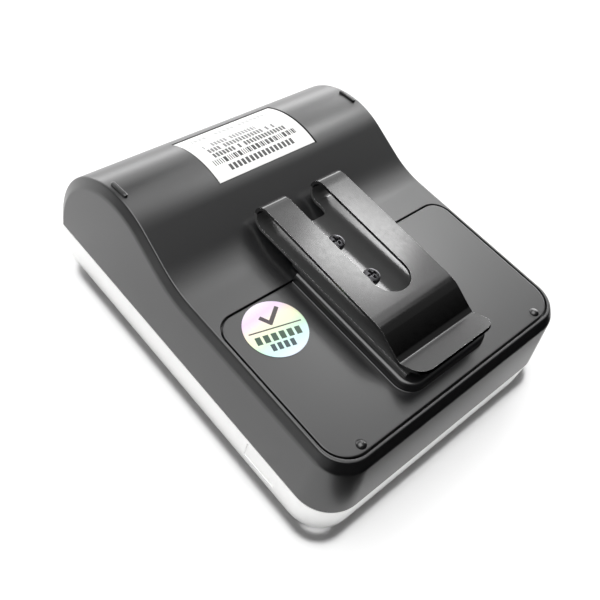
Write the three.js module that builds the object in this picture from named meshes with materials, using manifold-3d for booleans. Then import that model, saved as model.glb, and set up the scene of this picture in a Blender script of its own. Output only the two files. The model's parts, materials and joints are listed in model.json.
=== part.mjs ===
// Portable receipt printer, lying on its light front face with the dark back and its belt clip up.
// Millimetres. +Z up, +Y towards the paper bay, +X to the right seen from above with +Y ahead.
import * as THREE from 'three';
import { mergeGeometries, mergeVertices } from 'three/addons/utils/BufferGeometryUtils.js';
import Module from 'manifold-3d';

const wasm = await Module();
wasm.setup();

// Case, outside
const CASE_WIDTH = 80;
const CASE_LENGTH = 101;
const BULGE_HEIGHT = 34.7;
const BULGE_RISE = 8;
const BULGE_RADIUS = 22.3;
const VALLEY_RADIUS = 25;
const VALLEY_ANGLE = THREE.MathUtils.degToRad(25);
const SEAM_HEIGHT = 9.5;
const SEAM_GAP = 0.3;
const CHAMFER_WIDTH = 1.3;
const CHAMFER_DEPTH = 2.4;
const SIDE_DRAFT = 0.8;
const END_DRAFT = 1.75;
const FRONT_DRAFT = 0.3;
const PLAN_CORNER = 9.2;
const FRONT_EDGE = 0.8;
const WALL = 1.6;
const SIDE_WALL = 1.8;
const PLAN_CORNER_STEPS = 8;
const ARC_STEP = THREE.MathUtils.degToRad(8);

// Clearances
const SEAT = 0.05;
const GAP = 0.3;
const SLACK = 0.03;
const OVERRUN = 5;
const WELD_SHARE = 0.001;

// Ribs to stand the printer on its back, on the bulge
const RIB_SIDE_INSET = 4.1;
const RIB_WIDTH = 1.1;
const RIB_LENGTH = 5.7;
const RIB_PROUD = 0.6;
const RIB_ANGLE = THREE.MathUtils.degToRad(6.5);

// Battery cover and the bay under it
const COVER_SIDE_MARGIN = 3.2;
const COVER_VALLEY_GAP = 6.457;
const COVER_SEAM = 0.35;
const COVER_END_MARGIN = 4.1;
const COVER_NEAR_CORNER = 6.6;
const COVER_FAR_CORNER = 4.5;
const COVER_THICKNESS = 1.6;
const LEDGE = 1.5;
const LEDGE_THICKNESS = 1.3;
const BAY_WALL = 1.2;
const BAY_CLEARANCE = 0.75;
const NUB_SIDE_INSET = 6.9;
const NUB_RADIUS = 1.2;
const NUB_PROUD = 0.7;
const NUB_INSET = 1.75;

// Clip pad on the cover
const PAD_WIDTH = 28.4;
const PAD_START_MARGIN = 3.3;
const PAD_CORNER = 4.5;
const PAD_HEIGHT = 2.4;
const PAD_SHOULDER = 1.5;
const PAD_EDGE = 0.5;
const TONGUE_WIDTH = 23;
const TONGUE_LENGTH = 4.2;

// Belt clip, one steel strip
const CLIP_WIDTH = 24.8;
const CLIP_STEEL = 0.8;
const CLIP_LOOP_PAST = 13.75;
const CLIP_LOOP_HEIGHT = 6.95;
const CLIP_ARM_LENGTH = 36.7;
const CLIP_ARM_FALL = 1.1;
const CLIP_BEND_LENGTH = 7.9;
const CLIP_BEND_FALL = 3.95;
const CLIP_LIP_LENGTH = 6.2;
const CLIP_LIP_RISE = 3;
const CLIP_LIP_CORNER = 3;
const CLIP_SLOT_WIDTH = 10.4;
const CLIP_SLOT_LENGTH = 33;
const CLIP_BASE_SLOT = 4;
const CLIP_BASE_SLOT_CORNER = 2;
const CLIP_BASE_INSET = 3.55;
const CLIP_SPLIT = 0.3;
const CLIP_BEND_START_SHARE = 0.16;
const CLIP_BEND_DROP_SHARE = 0.11;

// Clip screws
const CLIP_SCREW_STEPS = [1.55, -10.45];
const CLIP_SCREW_HEAD = 4.2;
const CLIP_SCREW_HEIGHT = 1.1;
const CLIP_SCREW_SHANK = 2.2;
const CLIP_SCREW_LENGTH = 2.8;
const CROSS_WIDTH = 0.6;
const CROSS_LENGTH = 2.4;
const CROSS_DEPTH = 0.7;
const CROSS_DEPTH_SHARE = 0.7;
const SCREW_TIP_SHARE = 0.6;
const SCREW_CROWN_SHARES = [[1, 0.45], [0.8, 0.85], [0.45, 1]];

// Labels
const PLATE_WIDTH = 30.4;
const PLATE_SHIFT = 0.9;
const PLATE_START = THREE.MathUtils.degToRad(-16.4);
const PLATE_END = THREE.MathUtils.degToRad(32.2);
const PLATE_THICKNESS = 0.15;
const PLATE_RECESS = 0.35;
const PLATE_MARGIN = 0.35;
const STICKER_SHIFT = 0.6;
const STICKER_END_INSET = 7.9;
const STICKER_SIDES = 48;
const STICKER_RADIUS = 7.35;
const STICKER_THICKNESS = 0.12;

// Paper lid on the front face
const LID_SIDE_MARGIN = 8.1;
const LID_THICKNESS = 1.6;
const LID_RECESS = 0.3;
const LID_AXIS_BACK = 10.9;
const LID_KNUCKLE = 1.75;
const LID_PIN = 0.7;
const LID_PIN_CLEARANCE = 0.15;
const LID_LUG_WIDTH = 3;
const LID_LIP = 2;
const EXIT_SLOT = 2.4;
const LID_RIB_HEIGHT = 2.2;
const LID_RIB_WIDTH = 1.2;
const LID_RIB_PLACES_SHARES = [-0.62, 0, 0.62];
const LID_WINDOW_SHARES = [0.3, 0.56];

// Feed roller, its gear train and its motor
const ROLLER_MARGIN = 35;
const ROLLER_Z = 6.8;
const ROLLER_RADIUS = 4.2;
const ROLLER_SIDE_MARGIN = 5.1;
const SHAFT_RADIUS = 1.4;
const SHAFT_CLEARANCE = 0.2;
const EAR_THICKNESS = 1.2;
const EAR_RADIUS = 3.1;
const EAR_FOOT_SHARE = 0.55;
const BUSH_LENGTH = 1.4;
const BUSH_RADIUS = 2.6;
const TOOTH_MODULE = 0.5;
const GEAR_WIDTH = 1.3;
const ROLLER_TEETH = 16;
const IDLER_TEETH = 18;
const PINION_TEETH = 10;
const TOOTH_TIP_SHARE = 0.24;
const TOOTH_PITCH_SHARE = 0.42;
const TOOTH_ROOT_SHARE = 0.54;
const ADDENDUM_SHARE = 0.84;
const DEDENDUM_SHARE = 1.25;
const MOTOR_STEP = 15.3;
const MOTOR_Z = 8.4;
const MOTOR_RADIUS = 5.2;
const MOTOR_LENGTH = 17;
const MOTOR_BOSS = 2.6;

// Print mechanism
const CHEEK_THICKNESS = 1.2;
const CHASSIS_TOP = 14.9;
const CHASSIS_BOTTOM = 3.0;
const CHASSIS_REAR_STEP = 4.3;
const CHASSIS_FRONT_STEP = 21.5;
const CHASSIS_PLATE = 1.2;
const HEAD_SIDE_INSET = 0.2;
const HEAD_THICKNESS = 2.0;
const HEAD_HEIGHT = 8.2;
const HEAD_Z = 3.4;
const HEATER_THICKNESS = 0.6;
const HEATER_HEIGHT = 6.2;
const SPRING_STEEL = 0.3;
const SPRING_WIDTH = 12;
const SPRING_PLACES_SHARES = [-0.5, 0.5];
const SPRING_FOOT_SHARE = 0.3;
const TEAR_BAR_HEIGHT = 1.6;
const TEAR_BAR_THICKNESS = 0.6;
const TEAR_TOOTH = 1.6;
const TEAR_TOOTH_HEIGHT = 0.55;
const SENSOR_WIDTH = 4;
const SENSOR_LENGTH = 3;
const SENSOR_X = -18;
const SENSOR_STEP = 0.2;

// Electronics
const BOARD_SIDE_MARGIN = 5.5;
const BOARD_LENGTH = 10.6;
const BOARD_THICKNESS = 1.2;
const BOARD_BOTTOM = 4.9;
const BOARD_FRONT_MARGIN = 2.3;
const CHARGE_WIDTH = 5.4;
const CHARGE_LENGTH = 12.2;
const CHARGE_STEP = 10;
const SOCKET_WIDTH = 7.6;
const SOCKET_HEIGHT = 2.9;
const SOCKET_DEPTH = 5.4;
const SOCKET_WALL = 0.35;
const SOCKET_TONGUE = 0.6;
const SOCKET_TONGUE_INSET = 1.5;
const SOCKET_BACK = 1.1;
const RADIO_SIZE = [16, 9, 2.2];
const RADIO_INSET = 4.5;
const BUZZER_RADIUS = 4;
const BUZZER_HEIGHT = 4;
const BUZZER_X = 2;
const CONNECTOR_SIZE = [18, 3, 1.6];
const CONNECTOR_X = 16;
const KEY_PLACES = [-15, 15];
const KEY_Y_MARGIN = 7.7;
const KEY_RADIUS = 4.2;
const KEY_FLANGE = 0.9;
const KEY_FLANGE_THICKNESS = 0.7;
const KEY_NUB = 1.2;
const KEY_TRAVEL = 0.3;
const SWITCH_SIZE = 5.2;
const SWITCH_HEIGHT = 1.5;
const LIGHT_PLACES = [-4, 4];
const LIGHT_RADIUS = 1.1;
const LIGHT_FLANGE = 0.6;
const LED_SIZE = [1.8, 1.4, 0.9];

// Battery and its contacts
const PACK_SIDE_GAP = 0.45;
const PACK_END_ROOM = 3.1;
const PACK_HEADROOM = 0.8;
const PACK_CORNER = 2.4;
const PACK_EDGE_SHARE = 0.108;
const CONTACT_PLACES = [-6, 0, 6];
const CONTACT_WIDTH = 2.2;
const CONTACT_STEEL = 0.3;
const CONTACT_RISE_SHARES = [0.75, 0.4, 0.62];

// Case screws, posts and hooks
const SCREW_SIDE_INSET = 2.1;
const SCREW_FRONT_INSET = 9.6;
const SCREW_REAR_INSET = 2.3;
const SCREW_HEAD_RADIUS = 1.75;
const SCREW_HEAD_HEIGHT = 1.3;
const SCREW_SHANK_RADIUS = 1.0;
const SCREW_LENGTH = 6.5;
const POST_RADIUS = 1.9;
const HOOK_WIDTH = 8;
const HOOK_THICKNESS = 1.2;
const HOOK_RISE = 3.2;
const HOOK_PLACES = [-20, 20];

// Lid release key in the side wall
const RELEASE_STEP = 19.7;
const RELEASE_LENGTH = 9.4;
const RELEASE_BOTTOM = 3.2;
const RELEASE_TOP = 7.9;
const RELEASE_PLATE = 0.8;
const RELEASE_TRAVEL = 1.2;
const RELEASE_FLANGE = 0.9;
const RELEASE_RAIL = 1.2;
const RELEASE_FINGER = 3;

// Places worked out from the sizes above
const HALF_WIDTH = CASE_WIDTH / 2;
const HALF_LENGTH = CASE_LENGTH / 2;
const FLAT_HEIGHT = BULGE_HEIGHT - BULGE_RISE;
const CHAMFER_Z = FLAT_HEIGHT - CHAMFER_DEPTH;
const TOP_HALF = HALF_WIDTH - SIDE_DRAFT;
const CREST_HALF = TOP_HALF - CHAMFER_WIDTH;
const DRAFT_SLOPE = SIDE_DRAFT / (CHAMFER_Z - SEAM_HEIGHT);
const BULGE_Y = HALF_LENGTH - BULGE_RADIUS;
const BULGE_Z = BULGE_HEIGHT - BULGE_RADIUS;
const FLANK_TOP_Y = BULGE_Y - BULGE_RADIUS * Math.sin(VALLEY_ANGLE);
const FLANK_TOP_Z = BULGE_Z + BULGE_RADIUS * Math.cos(VALLEY_ANGLE);
const FLANK_DROP = FLANK_TOP_Z - FLAT_HEIGHT - VALLEY_RADIUS * (1 - Math.cos(VALLEY_ANGLE));
const VALLEY_Y = FLANK_TOP_Y - VALLEY_RADIUS * Math.sin(VALLEY_ANGLE) - FLANK_DROP / Math.tan(VALLEY_ANGLE);
const INNER_HALF = TOP_HALF - SIDE_WALL;
const BACK_BOTTOM = SEAM_HEIGHT + SEAM_GAP / 2;
const FRONT_TOP = SEAM_HEIGHT - SEAM_GAP / 2;
const RIB_SIDE = HALF_WIDTH - RIB_SIDE_INSET;
const COVER_WIDTH = CASE_WIDTH - 2 * COVER_SIDE_MARGIN;
const COVER_START = COVER_END_MARGIN - HALF_LENGTH;
const COVER_END = VALLEY_Y - COVER_VALLEY_GAP;
const COVER_MID = (COVER_START + COVER_END) / 2;
const COVER_BOTTOM = FLAT_HEIGHT - COVER_THICKNESS;
const LEDGE_TOP = COVER_BOTTOM - SEAT;
const BAY_HALF = COVER_WIDTH / 2 - LEDGE;
const BAY_START = COVER_START + LEDGE;
const BAY_END = COVER_END - LEDGE;
const BAY_FLOOR = CHASSIS_TOP + BAY_CLEARANCE + BAY_WALL;
const NUB_SIDE = COVER_WIDTH / 2 - NUB_SIDE_INSET;
const PAD_START = COVER_START + PAD_START_MARGIN;
const PAD_TOP = FLAT_HEIGHT + PAD_HEIGHT;
const CLIP_BOTTOM = PAD_TOP + SEAT;
const CLIP_BASE_TOP = CLIP_BOTTOM + CLIP_STEEL;
const CLIP_BASE_START = PAD_START + CLIP_BASE_INSET;
const CLIP_LOOP_REACH = COVER_END + CLIP_LOOP_PAST;
const CLIP_LIP_END = CLIP_LOOP_REACH - CLIP_ARM_LENGTH - CLIP_BEND_LENGTH - CLIP_LIP_LENGTH;
const CLIP_SCREW_PLACES = CLIP_SCREW_STEPS.map((step) => COVER_END + step);
const STICKER_X = -(COVER_WIDTH + PAD_WIDTH) / 4 - STICKER_SHIFT;
const STICKER_Y = COVER_END - STICKER_END_INSET;
const LOOP_RADIUS = (CLIP_LOOP_HEIGHT - CLIP_STEEL) / 2;
const LOOP_Z = CLIP_BOTTOM + CLIP_LOOP_HEIGHT / 2;
const LID_HALF = HALF_WIDTH - LID_SIDE_MARGIN;
const ROLLER_Y = ROLLER_MARGIN - HALF_LENGTH;
const ROLLER_LENGTH = 2 * (LID_HALF - ROLLER_SIDE_MARGIN);
const MOTOR_Y = ROLLER_Y - MOTOR_STEP;
const CHASSIS_REAR = ROLLER_Y + CHASSIS_REAR_STEP;
const CHASSIS_FRONT = ROLLER_Y - CHASSIS_FRONT_STEP;
const HEAD_WIDTH = ROLLER_LENGTH - 2 * HEAD_SIDE_INSET;
const LID_OPENING_HALF = LID_HALF + GAP;
const LID_TOP = LID_RECESS + LID_THICKNESS;
const LID_AXIS_Y = HALF_LENGTH - LID_AXIS_BACK;
const LID_AXIS_Z = LID_RECESS + LID_KNUCKLE;
const LID_START = ROLLER_Y - LID_LIP;
const OPENING_START = LID_START - EXIT_SLOT;
const OPENING_END = LID_AXIS_Y + LID_KNUCKLE + GAP;
const EAR_INNER = ROLLER_LENGTH / 2 + GAP;
const EAR_OUTER = EAR_INNER + EAR_THICKNESS;
const BUSH_INNER = EAR_OUTER + GAP;
const BUSH_OUTER = BUSH_INNER + BUSH_LENGTH;
const GEAR_INNER = BUSH_OUTER + GAP;
const GEAR_OUTER = GEAR_INNER + GEAR_WIDTH;
const CHEEK_INNER = BUSH_INNER + (BUSH_LENGTH - CHEEK_THICKNESS) / 2;
const CHEEK_OUTER = CHEEK_INNER + CHEEK_THICKNESS;
const HEATER_FACE = ROLLER_Y - ROLLER_RADIUS - GAP;
const HEAD_FACE = HEATER_FACE - HEATER_THICKNESS;
const HEAD_BACK = HEAD_FACE - HEAD_THICKNESS;
const BOARD_WIDTH = CASE_WIDTH - 2 * BOARD_SIDE_MARGIN;
const BOARD_FRONT = BOARD_FRONT_MARGIN - HALF_LENGTH;
const BOARD_BACK = BOARD_FRONT + BOARD_LENGTH;
const BOARD_TOP = BOARD_BOTTOM + BOARD_THICKNESS;
const BOARD_MID = (BOARD_FRONT + BOARD_BACK) / 2;
const RADIO_X = RADIO_INSET + RADIO_SIZE[0] / 2 - BOARD_WIDTH / 2;
const CHARGE_Y = ROLLER_Y - CHARGE_STEP;
const CHARGE_START = HALF_WIDTH - FRONT_DRAFT - WALL - GAP - CHARGE_WIDTH;
const CHARGE_ROW = [CHARGE_Y - CHARGE_LENGTH / 2, CHARGE_Y + CHARGE_LENGTH / 2];
const SOCKET_ROW = [CHARGE_Y - SOCKET_WIDTH / 2, CHARGE_Y + SOCKET_WIDTH / 2];
const KEY_Y = KEY_Y_MARGIN - HALF_LENGTH;
const SWITCH_BOTTOM = BOARD_BOTTOM - SWITCH_HEIGHT;
const RELEASE_START = ROLLER_Y - RELEASE_STEP;
const SCREW_SIDE = BAY_HALF - SCREW_SIDE_INSET;
const PACK_WIDTH = 2 * (SCREW_SIDE - SCREW_HEAD_RADIUS - PACK_SIDE_GAP);
const PACK_LENGTH = BAY_END - BAY_START - PACK_END_ROOM;
const PACK_HEIGHT = LEDGE_TOP - BAY_FLOOR - PACK_HEADROOM;
const PACK_EDGE = PACK_HEIGHT * PACK_EDGE_SHARE;
const SCREW_ROWS = [BAY_START + SCREW_FRONT_INSET, BAY_END - SCREW_REAR_INSET];

const object = new THREE.Group();

function finish(color, roughness, metalness = 0) {
  return new THREE.MeshStandardMaterial({ color, roughness, metalness });
}

const blackPlastic = finish(0x2a2a2c, 0.45);
const whitePlastic = finish(0xf0f0ee, 0.4);
const clipSteel = finish(0x3a3a3d, 0.25, 0.9);
const brightSteel = finish(0xb9bcc0, 0.3, 1);
const screwSteel = finish(0x1d1d1f, 0.35, 0.8);
const labelPaper = finish(0xf4f4f2, 0.6);
const stickerFilm = finish(0xe8d9e6, 0.25, 0.4);
const rollerRubber = finish(0x26272a, 0.85);
const gearPlastic = finish(0xe9e4d4, 0.5);
const chassisPlastic = finish(0x3b3d40, 0.6);
const headAluminium = finish(0xc4c7ca, 0.4, 1);
const boardLaminate = finish(0x1d6b3c, 0.5);
const chipBlack = finish(0x191a1c, 0.5);
const goldContact = finish(0xcaa24c, 0.3, 1);
const packWrap = finish(0x2f5fa8, 0.4);
const clearPlastic = finish(0xdfe8ee, 0.15);
const motorSteel = finish(0x9da1a6, 0.35, 1);

function solidOf(geometry) {
  const bare = geometry.clone();
  for (const name of Object.keys(bare.attributes)) if (name !== 'position') bare.deleteAttribute(name);
  const merged = mergeVertices(bare, SEAT * WELD_SHARE);
  const mesh = new wasm.Mesh({
    numProp: 3,
    vertProperties: new Float32Array(merged.attributes.position.array),
    triVerts: new Uint32Array(merged.index.array),
  });
  return new wasm.Manifold(mesh);
}

function geometryOf(solid) {
  const mesh = solid.getMesh();
  const geometry = new THREE.BufferGeometry();
  geometry.setAttribute('position', new THREE.BufferAttribute(new Float32Array(mesh.vertProperties), 3));
  geometry.setIndex(new THREE.BufferAttribute(new Uint32Array(mesh.triVerts), 1));
  return geometry;
}

function place(name, shape, material) {
  const geometry = shape.isBufferGeometry ? shape : geometryOf(shape);
  const mesh = new THREE.Mesh(geometry, material);
  mesh.name = name;
  object.add(mesh);
}

function box([x0, x1], [y0, y1], [z0, z1]) {
  const geometry = new THREE.BoxGeometry(x1 - x0, y1 - y0, z1 - z0);
  return solidOf(geometry.translate((x0 + x1) / 2, (y0 + y1) / 2, (z0 + z1) / 2));
}

// Upright cylinder between two heights
function post(x, y, radius, [z0, z1], sides = 24) {
  const geometry = new THREE.CylinderGeometry(radius, radius, z1 - z0, sides);
  return solidOf(geometry.rotateX(Math.PI / 2).translate(x, y, (z0 + z1) / 2));
}

// Cylinder along X between two sides
function rod(y, z, radius, [x0, x1], sides = 24) {
  const geometry = new THREE.CylinderGeometry(radius, radius, x1 - x0, sides);
  return solidOf(geometry.rotateZ(Math.PI / 2).translate((x0 + x1) / 2, y, z));
}

// Plan outline raised between two heights
function upright(shape, [z0, z1], curveSegments = 6) {
  const geometry = new THREE.ExtrudeGeometry(shape, { depth: z1 - z0, bevelEnabled: false, curveSegments });
  return solidOf(geometry.translate(0, 0, z0));
}

// Side outline in (y, z) carried across the width between two sides
function across(shape, [x0, x1], curveSegments = 8) {
  const geometry = new THREE.ExtrudeGeometry(shape, { depth: x1 - x0, bevelEnabled: false, curveSegments });
  const turn = new THREE.Matrix4().makeBasis(
    new THREE.Vector3(0, 1, 0), new THREE.Vector3(0, 0, 1), new THREE.Vector3(1, 0, 0));
  return solidOf(geometry.applyMatrix4(turn).translate(x0, 0, 0));
}

function polygon(points) {
  return new THREE.Shape(points.map(([u, v]) => new THREE.Vector2(u, v)));
}

function arc(cu, cv, radius, from, to, steps) {
  return Array.from({ length: steps + 1 }, (unused, i) => {
    const angle = from + (to - from) * i / steps;
    return [cu + radius * Math.cos(angle), cv + radius * Math.sin(angle)];
  });
}

// Rectangle with its own corner radius at each end, as a closed list of points
function roundedPlan(half, y0, y1, r0, r1, steps = PLAN_CORNER_STEPS) {
  const quarter = Math.PI / 2;
  return [
    ...arc(r0 - half, y0 + r0, r0, 2 * quarter, 3 * quarter, steps),
    ...arc(half - r0, y0 + r0, r0, -quarter, 0, steps),
    ...arc(half - r1, y1 - r1, r1, 0, quarter, steps),
    ...arc(r1 - half, y1 - r1, r1, quarter, 2 * quarter, steps),
  ];
}

// Closed skin through a stack of rings with equal counts; lift turns a ring point into space
function skin(rings, lift) {
  const count = rings[0].length;
  const positions = rings.flatMap((ring, level) => ring.flatMap((point) => lift(point, level)));
  const indices = [];
  for (let level = 0; level + 1 < rings.length; level += 1) {
    for (let i = 0; i < count; i += 1) {
      const a = level * count + i;
      const b = level * count + (i + 1) % count;
      indices.push(a, b, b + count, a, b + count, a + count);
    }
  }
  const capOf = (ring) => THREE.ShapeUtils.triangulateShape(ring.map(([u, v]) => new THREE.Vector2(u, v)), [])
    .map(([a, b, c]) => {
      const cross = (ring[b][0] - ring[a][0]) * (ring[c][1] - ring[a][1])
        - (ring[b][1] - ring[a][1]) * (ring[c][0] - ring[a][0]);
      return cross > 0 ? [a, b, c] : [a, c, b];
    });
  for (const [a, b, c] of capOf(rings[0])) indices.push(a, c, b);
  const last = (rings.length - 1) * count;
  for (const [a, b, c] of capOf(rings[rings.length - 1])) indices.push(last + a, last + b, last + c);
  const geometry = new THREE.BufferGeometry();
  geometry.setAttribute('position', new THREE.Float32BufferAttribute(positions, 3));
  geometry.setIndex(indices);
  return solidOf(geometry);
}

function planStack(levels) {
  return skin(levels.map((level) => level.ring), ([u, v], k) => [u, v, levels[k].z]);
}

function union(first, ...others) {
  return others.reduce((sum, other) => sum.add(other), first);
}

function cut(first, ...tools) {
  return tools.reduce((rest, tool) => rest.subtract(tool), first);
}

// Closed side outline of the back, drawn a distance inside the outer face
function backOutline(inside, low) {
  const crestEnd = Math.PI / 2 + VALLEY_ANGLE;
  const far = -HALF_LENGTH - OVERRUN;
  return [
    [far, low],
    [HALF_LENGTH - inside, low],
    ...arc(BULGE_Y, BULGE_Z, BULGE_RADIUS - inside, 0, crestEnd, Math.round(crestEnd / ARC_STEP)),
    ...arc(VALLEY_Y, FLAT_HEIGHT + VALLEY_RADIUS, VALLEY_RADIUS + inside, VALLEY_ANGLE - Math.PI / 2,
      -Math.PI / 2, Math.round(VALLEY_ANGLE / ARC_STEP) + 1),
    [far, FLAT_HEIGHT - inside],
  ];
}

// Closed side outline of the front shell, drawn a distance inside; its floor keeps its height
function frontOutline(inside, floor) {
  const radius = SEAM_HEIGHT;
  const y = HALF_LENGTH - radius;
  const rear = arc(y, radius, radius, 0, -Math.PI / 2, Math.round(Math.PI / 2 / ARC_STEP))
    .map(([u, v], i, all) => {
      const fade = inside * (1 - i / (all.length - 1)) + floor * i / (all.length - 1);
      return [u - fade * (u - y) / radius, v - fade * (v - radius) / radius];
    });
  const far = -HALF_LENGTH - OVERRUN;
  return [[far, floor], ...rear.reverse(), [HALF_LENGTH - inside, SEAM_HEIGHT + OVERRUN],
    [far, SEAM_HEIGHT + OVERRUN]];
}

// Outline carried across the case, with the chamfer along both side edges and the walls' draft
function chamferedBody(outline, draftOf) {
  const rings = [outline(CHAMFER_DEPTH), outline(0), outline(0), outline(CHAMFER_DEPTH)];
  const halves = [-TOP_HALF, -CREST_HALF, CREST_HALF, TOP_HALF];
  return skin(rings, ([y, z], k) => [halves[k] + Math.sign(halves[k]) * draftOf(z), y, z]);
}

function backShellOutside() {
  const body = chamferedBody((inside) => backOutline(inside, SEAM_HEIGHT - OVERRUN),
    (z) => DRAFT_SLOPE * (CHAMFER_Z - z));
  const far = HALF_LENGTH + OVERRUN;
  const plan = (half, start, corner) => roundedPlan(half + SLACK, start, far, corner, OVERRUN);
  const seam = plan(HALF_WIDTH, -HALF_LENGTH, PLAN_CORNER);
  const shoulder = plan(TOP_HALF, END_DRAFT - HALF_LENGTH, PLAN_CORNER - SIDE_DRAFT);
  const rim = plan(CREST_HALF, END_DRAFT + CHAMFER_WIDTH - HALF_LENGTH,
    PLAN_CORNER - SIDE_DRAFT - CHAMFER_WIDTH);
  const lower = planStack([
    { ring: seam, z: BACK_BOTTOM }, { ring: shoulder, z: CHAMFER_Z }, { ring: rim, z: FLAT_HEIGHT },
    { ring: rim, z: FLAT_HEIGHT + SEAT },
  ]);
  const upper = box([-HALF_WIDTH - OVERRUN, HALF_WIDTH + OVERRUN], [COVER_END, far],
    [SEAM_HEIGHT + OVERRUN, BULGE_HEIGHT + OVERRUN]);
  return body.intersect(lower.add(upper));
}

function backShellInside() {
  const room = across(polygon(backOutline(WALL, SEAM_HEIGHT - OVERRUN)), [-INNER_HALF, INNER_HALF]);
  const start = END_DRAFT + WALL - HALF_LENGTH;
  const plan = roundedPlan(INNER_HALF + SEAT, start, HALF_LENGTH + OVERRUN, PLAN_CORNER - SIDE_WALL, OVERRUN);
  return room.intersect(planStack([
    { ring: plan, z: SEAM_HEIGHT - OVERRUN }, { ring: plan, z: BULGE_HEIGHT + OVERRUN }]));
}

function coverPlan(grow) {
  return roundedPlan(COVER_WIDTH / 2 + grow, COVER_START - grow, COVER_END + grow,
    COVER_NEAR_CORNER + grow, COVER_FAR_CORNER + grow);
}

function curvedPlate(inner, outer, margin) {
  const from = Math.PI / 2 - PLATE_END - margin / BULGE_RADIUS;
  const to = Math.PI / 2 - PLATE_START + margin / BULGE_RADIUS;
  const steps = Math.round((to - from) / ARC_STEP);
  const outline = [
    ...arc(BULGE_Y, BULGE_Z, outer, from, to, steps),
    ...arc(BULGE_Y, BULGE_Z, inner, to, from, steps),
  ];
  const half = PLATE_WIDTH / 2 + margin;
  return across(polygon(outline), [PLATE_SHIFT - half, PLATE_SHIFT + half]);
}

function bulgeRib(side) {
  const half = RIB_LENGTH / 2 / BULGE_RADIUS;
  const mid = Math.PI / 2 - RIB_ANGLE;
  const outline = [
    ...arc(BULGE_Y, BULGE_Z, BULGE_RADIUS + RIB_PROUD, mid - half, mid + half, 2),
    ...arc(BULGE_Y, BULGE_Z, BULGE_RADIUS - WALL / 2, mid + half, mid - half, 2),
  ];
  return across(polygon(outline), [side - RIB_WIDTH / 2, side + RIB_WIDTH / 2]);
}

function bayPlan(grow) {
  return polygon(roundedPlan(BAY_HALF + grow, BAY_START - grow, BAY_END + grow,
    COVER_NEAR_CORNER - LEDGE + grow, COVER_FAR_CORNER - LEDGE + grow));
}

function bayBlock() {
  const outer = upright(bayPlan(BAY_WALL), [BAY_FLOOR - BAY_WALL, LEDGE_TOP]);
  const shelf = upright(polygon(roundedPlan(INNER_HALF + SEAT, COVER_START - COVER_SEAM - SEAT,
    COVER_END + LEDGE, COVER_NEAR_CORNER, COVER_FAR_CORNER)), [LEDGE_TOP - LEDGE_THICKNESS, LEDGE_TOP]);
  return outer.add(shelf);
}

function bayRoom() {
  return upright(bayPlan(0), [BAY_FLOOR, LEDGE_TOP + SEAT]);
}

function rearHooks(y, sideways) {
  const span = [y, y + HOOK_THICKNESS];
  return HOOK_PLACES.map((x) => box([x - HOOK_WIDTH / 2, x + HOOK_WIDTH / 2], span, sideways));
}

// Ribs beside the paper roll keep it centred in front of the print head
function rollGuides() {
  const inner = CHEEK_OUTER + GAP;
  const start = BAY_END + BAY_WALL;
  const outline = polygon(backOutline(WALL / 2, SEAM_HEIGHT - OVERRUN));
  const band = box([-HALF_WIDTH, HALF_WIDTH], [start, HALF_LENGTH - WALL / 2],
    [SEAM_HEIGHT + SEAM_GAP, BULGE_HEIGHT]);
  return [-1, 1].map((side) => across(outline, side > 0
    ? [inner, inner + WALL / 2] : [-inner - WALL / 2, -inner]).intersect(band));
}

function backCase() {
  const hookY = HALF_LENGTH - WALL - HOOK_THICKNESS + SEAT;
  let shell = cut(backShellOutside(), backShellInside());
  shell = union(shell, bayBlock().intersect(backShellOutside()), ...rollGuides());
  shell = cut(shell, bayRoom(),
    upright(polygon(coverPlan(COVER_SEAM)), [LEDGE_TOP, FLAT_HEIGHT + OVERRUN]),
    curvedPlate(BULGE_RADIUS - PLATE_RECESS, BULGE_RADIUS + OVERRUN, PLATE_MARGIN));
  shell = union(shell, bulgeRib(-RIB_SIDE), bulgeRib(RIB_SIDE));
  for (const x of [-SCREW_SIDE, SCREW_SIDE]) {
    for (const y of SCREW_ROWS) {
      shell = cut(shell, post(x, y, SCREW_SHANK_RADIUS + SHAFT_CLEARANCE,
        [BAY_FLOOR - BAY_WALL - OVERRUN, BAY_FLOOR + OVERRUN], 16));
    }
  }
  return union(shell, ...rearHooks(hookY, [BACK_BOTTOM - HOOK_RISE, BACK_BOTTOM + HOOK_RISE]));
}

function frontShellOutside() {
  const slope = FRONT_DRAFT / SEAM_HEIGHT;
  const body = chamferedBody((inside) => frontOutline(inside, 0),
    (z) => HALF_WIDTH - TOP_HALF - slope * (SEAM_HEIGHT - z));
  const far = HALF_LENGTH + OVERRUN;
  const plan = (inside, grow) => roundedPlan(HALF_WIDTH - inside + grow, inside - HALF_LENGTH, far,
    PLAN_CORNER - inside, OVERRUN);
  return body.intersect(planStack([
    { ring: plan(FRONT_DRAFT + FRONT_EDGE, 0), z: 0 },
    { ring: plan(FRONT_DRAFT, SLACK), z: FRONT_EDGE },
    { ring: plan(0, SLACK), z: FRONT_TOP },
  ]));
}

function frontShellInside() {
  const half = HALF_WIDTH - FRONT_DRAFT - WALL;
  const room = across(polygon(frontOutline(WALL, WALL)), [-half, half]);
  const plan = roundedPlan(half + SEAT, FRONT_DRAFT + WALL - HALF_LENGTH, HALF_LENGTH + OVERRUN,
    PLAN_CORNER - WALL, OVERRUN);
  return room.intersect(planStack([{ ring: plan, z: WALL }, { ring: plan, z: SEAM_HEIGHT + OVERRUN }]));
}

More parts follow.
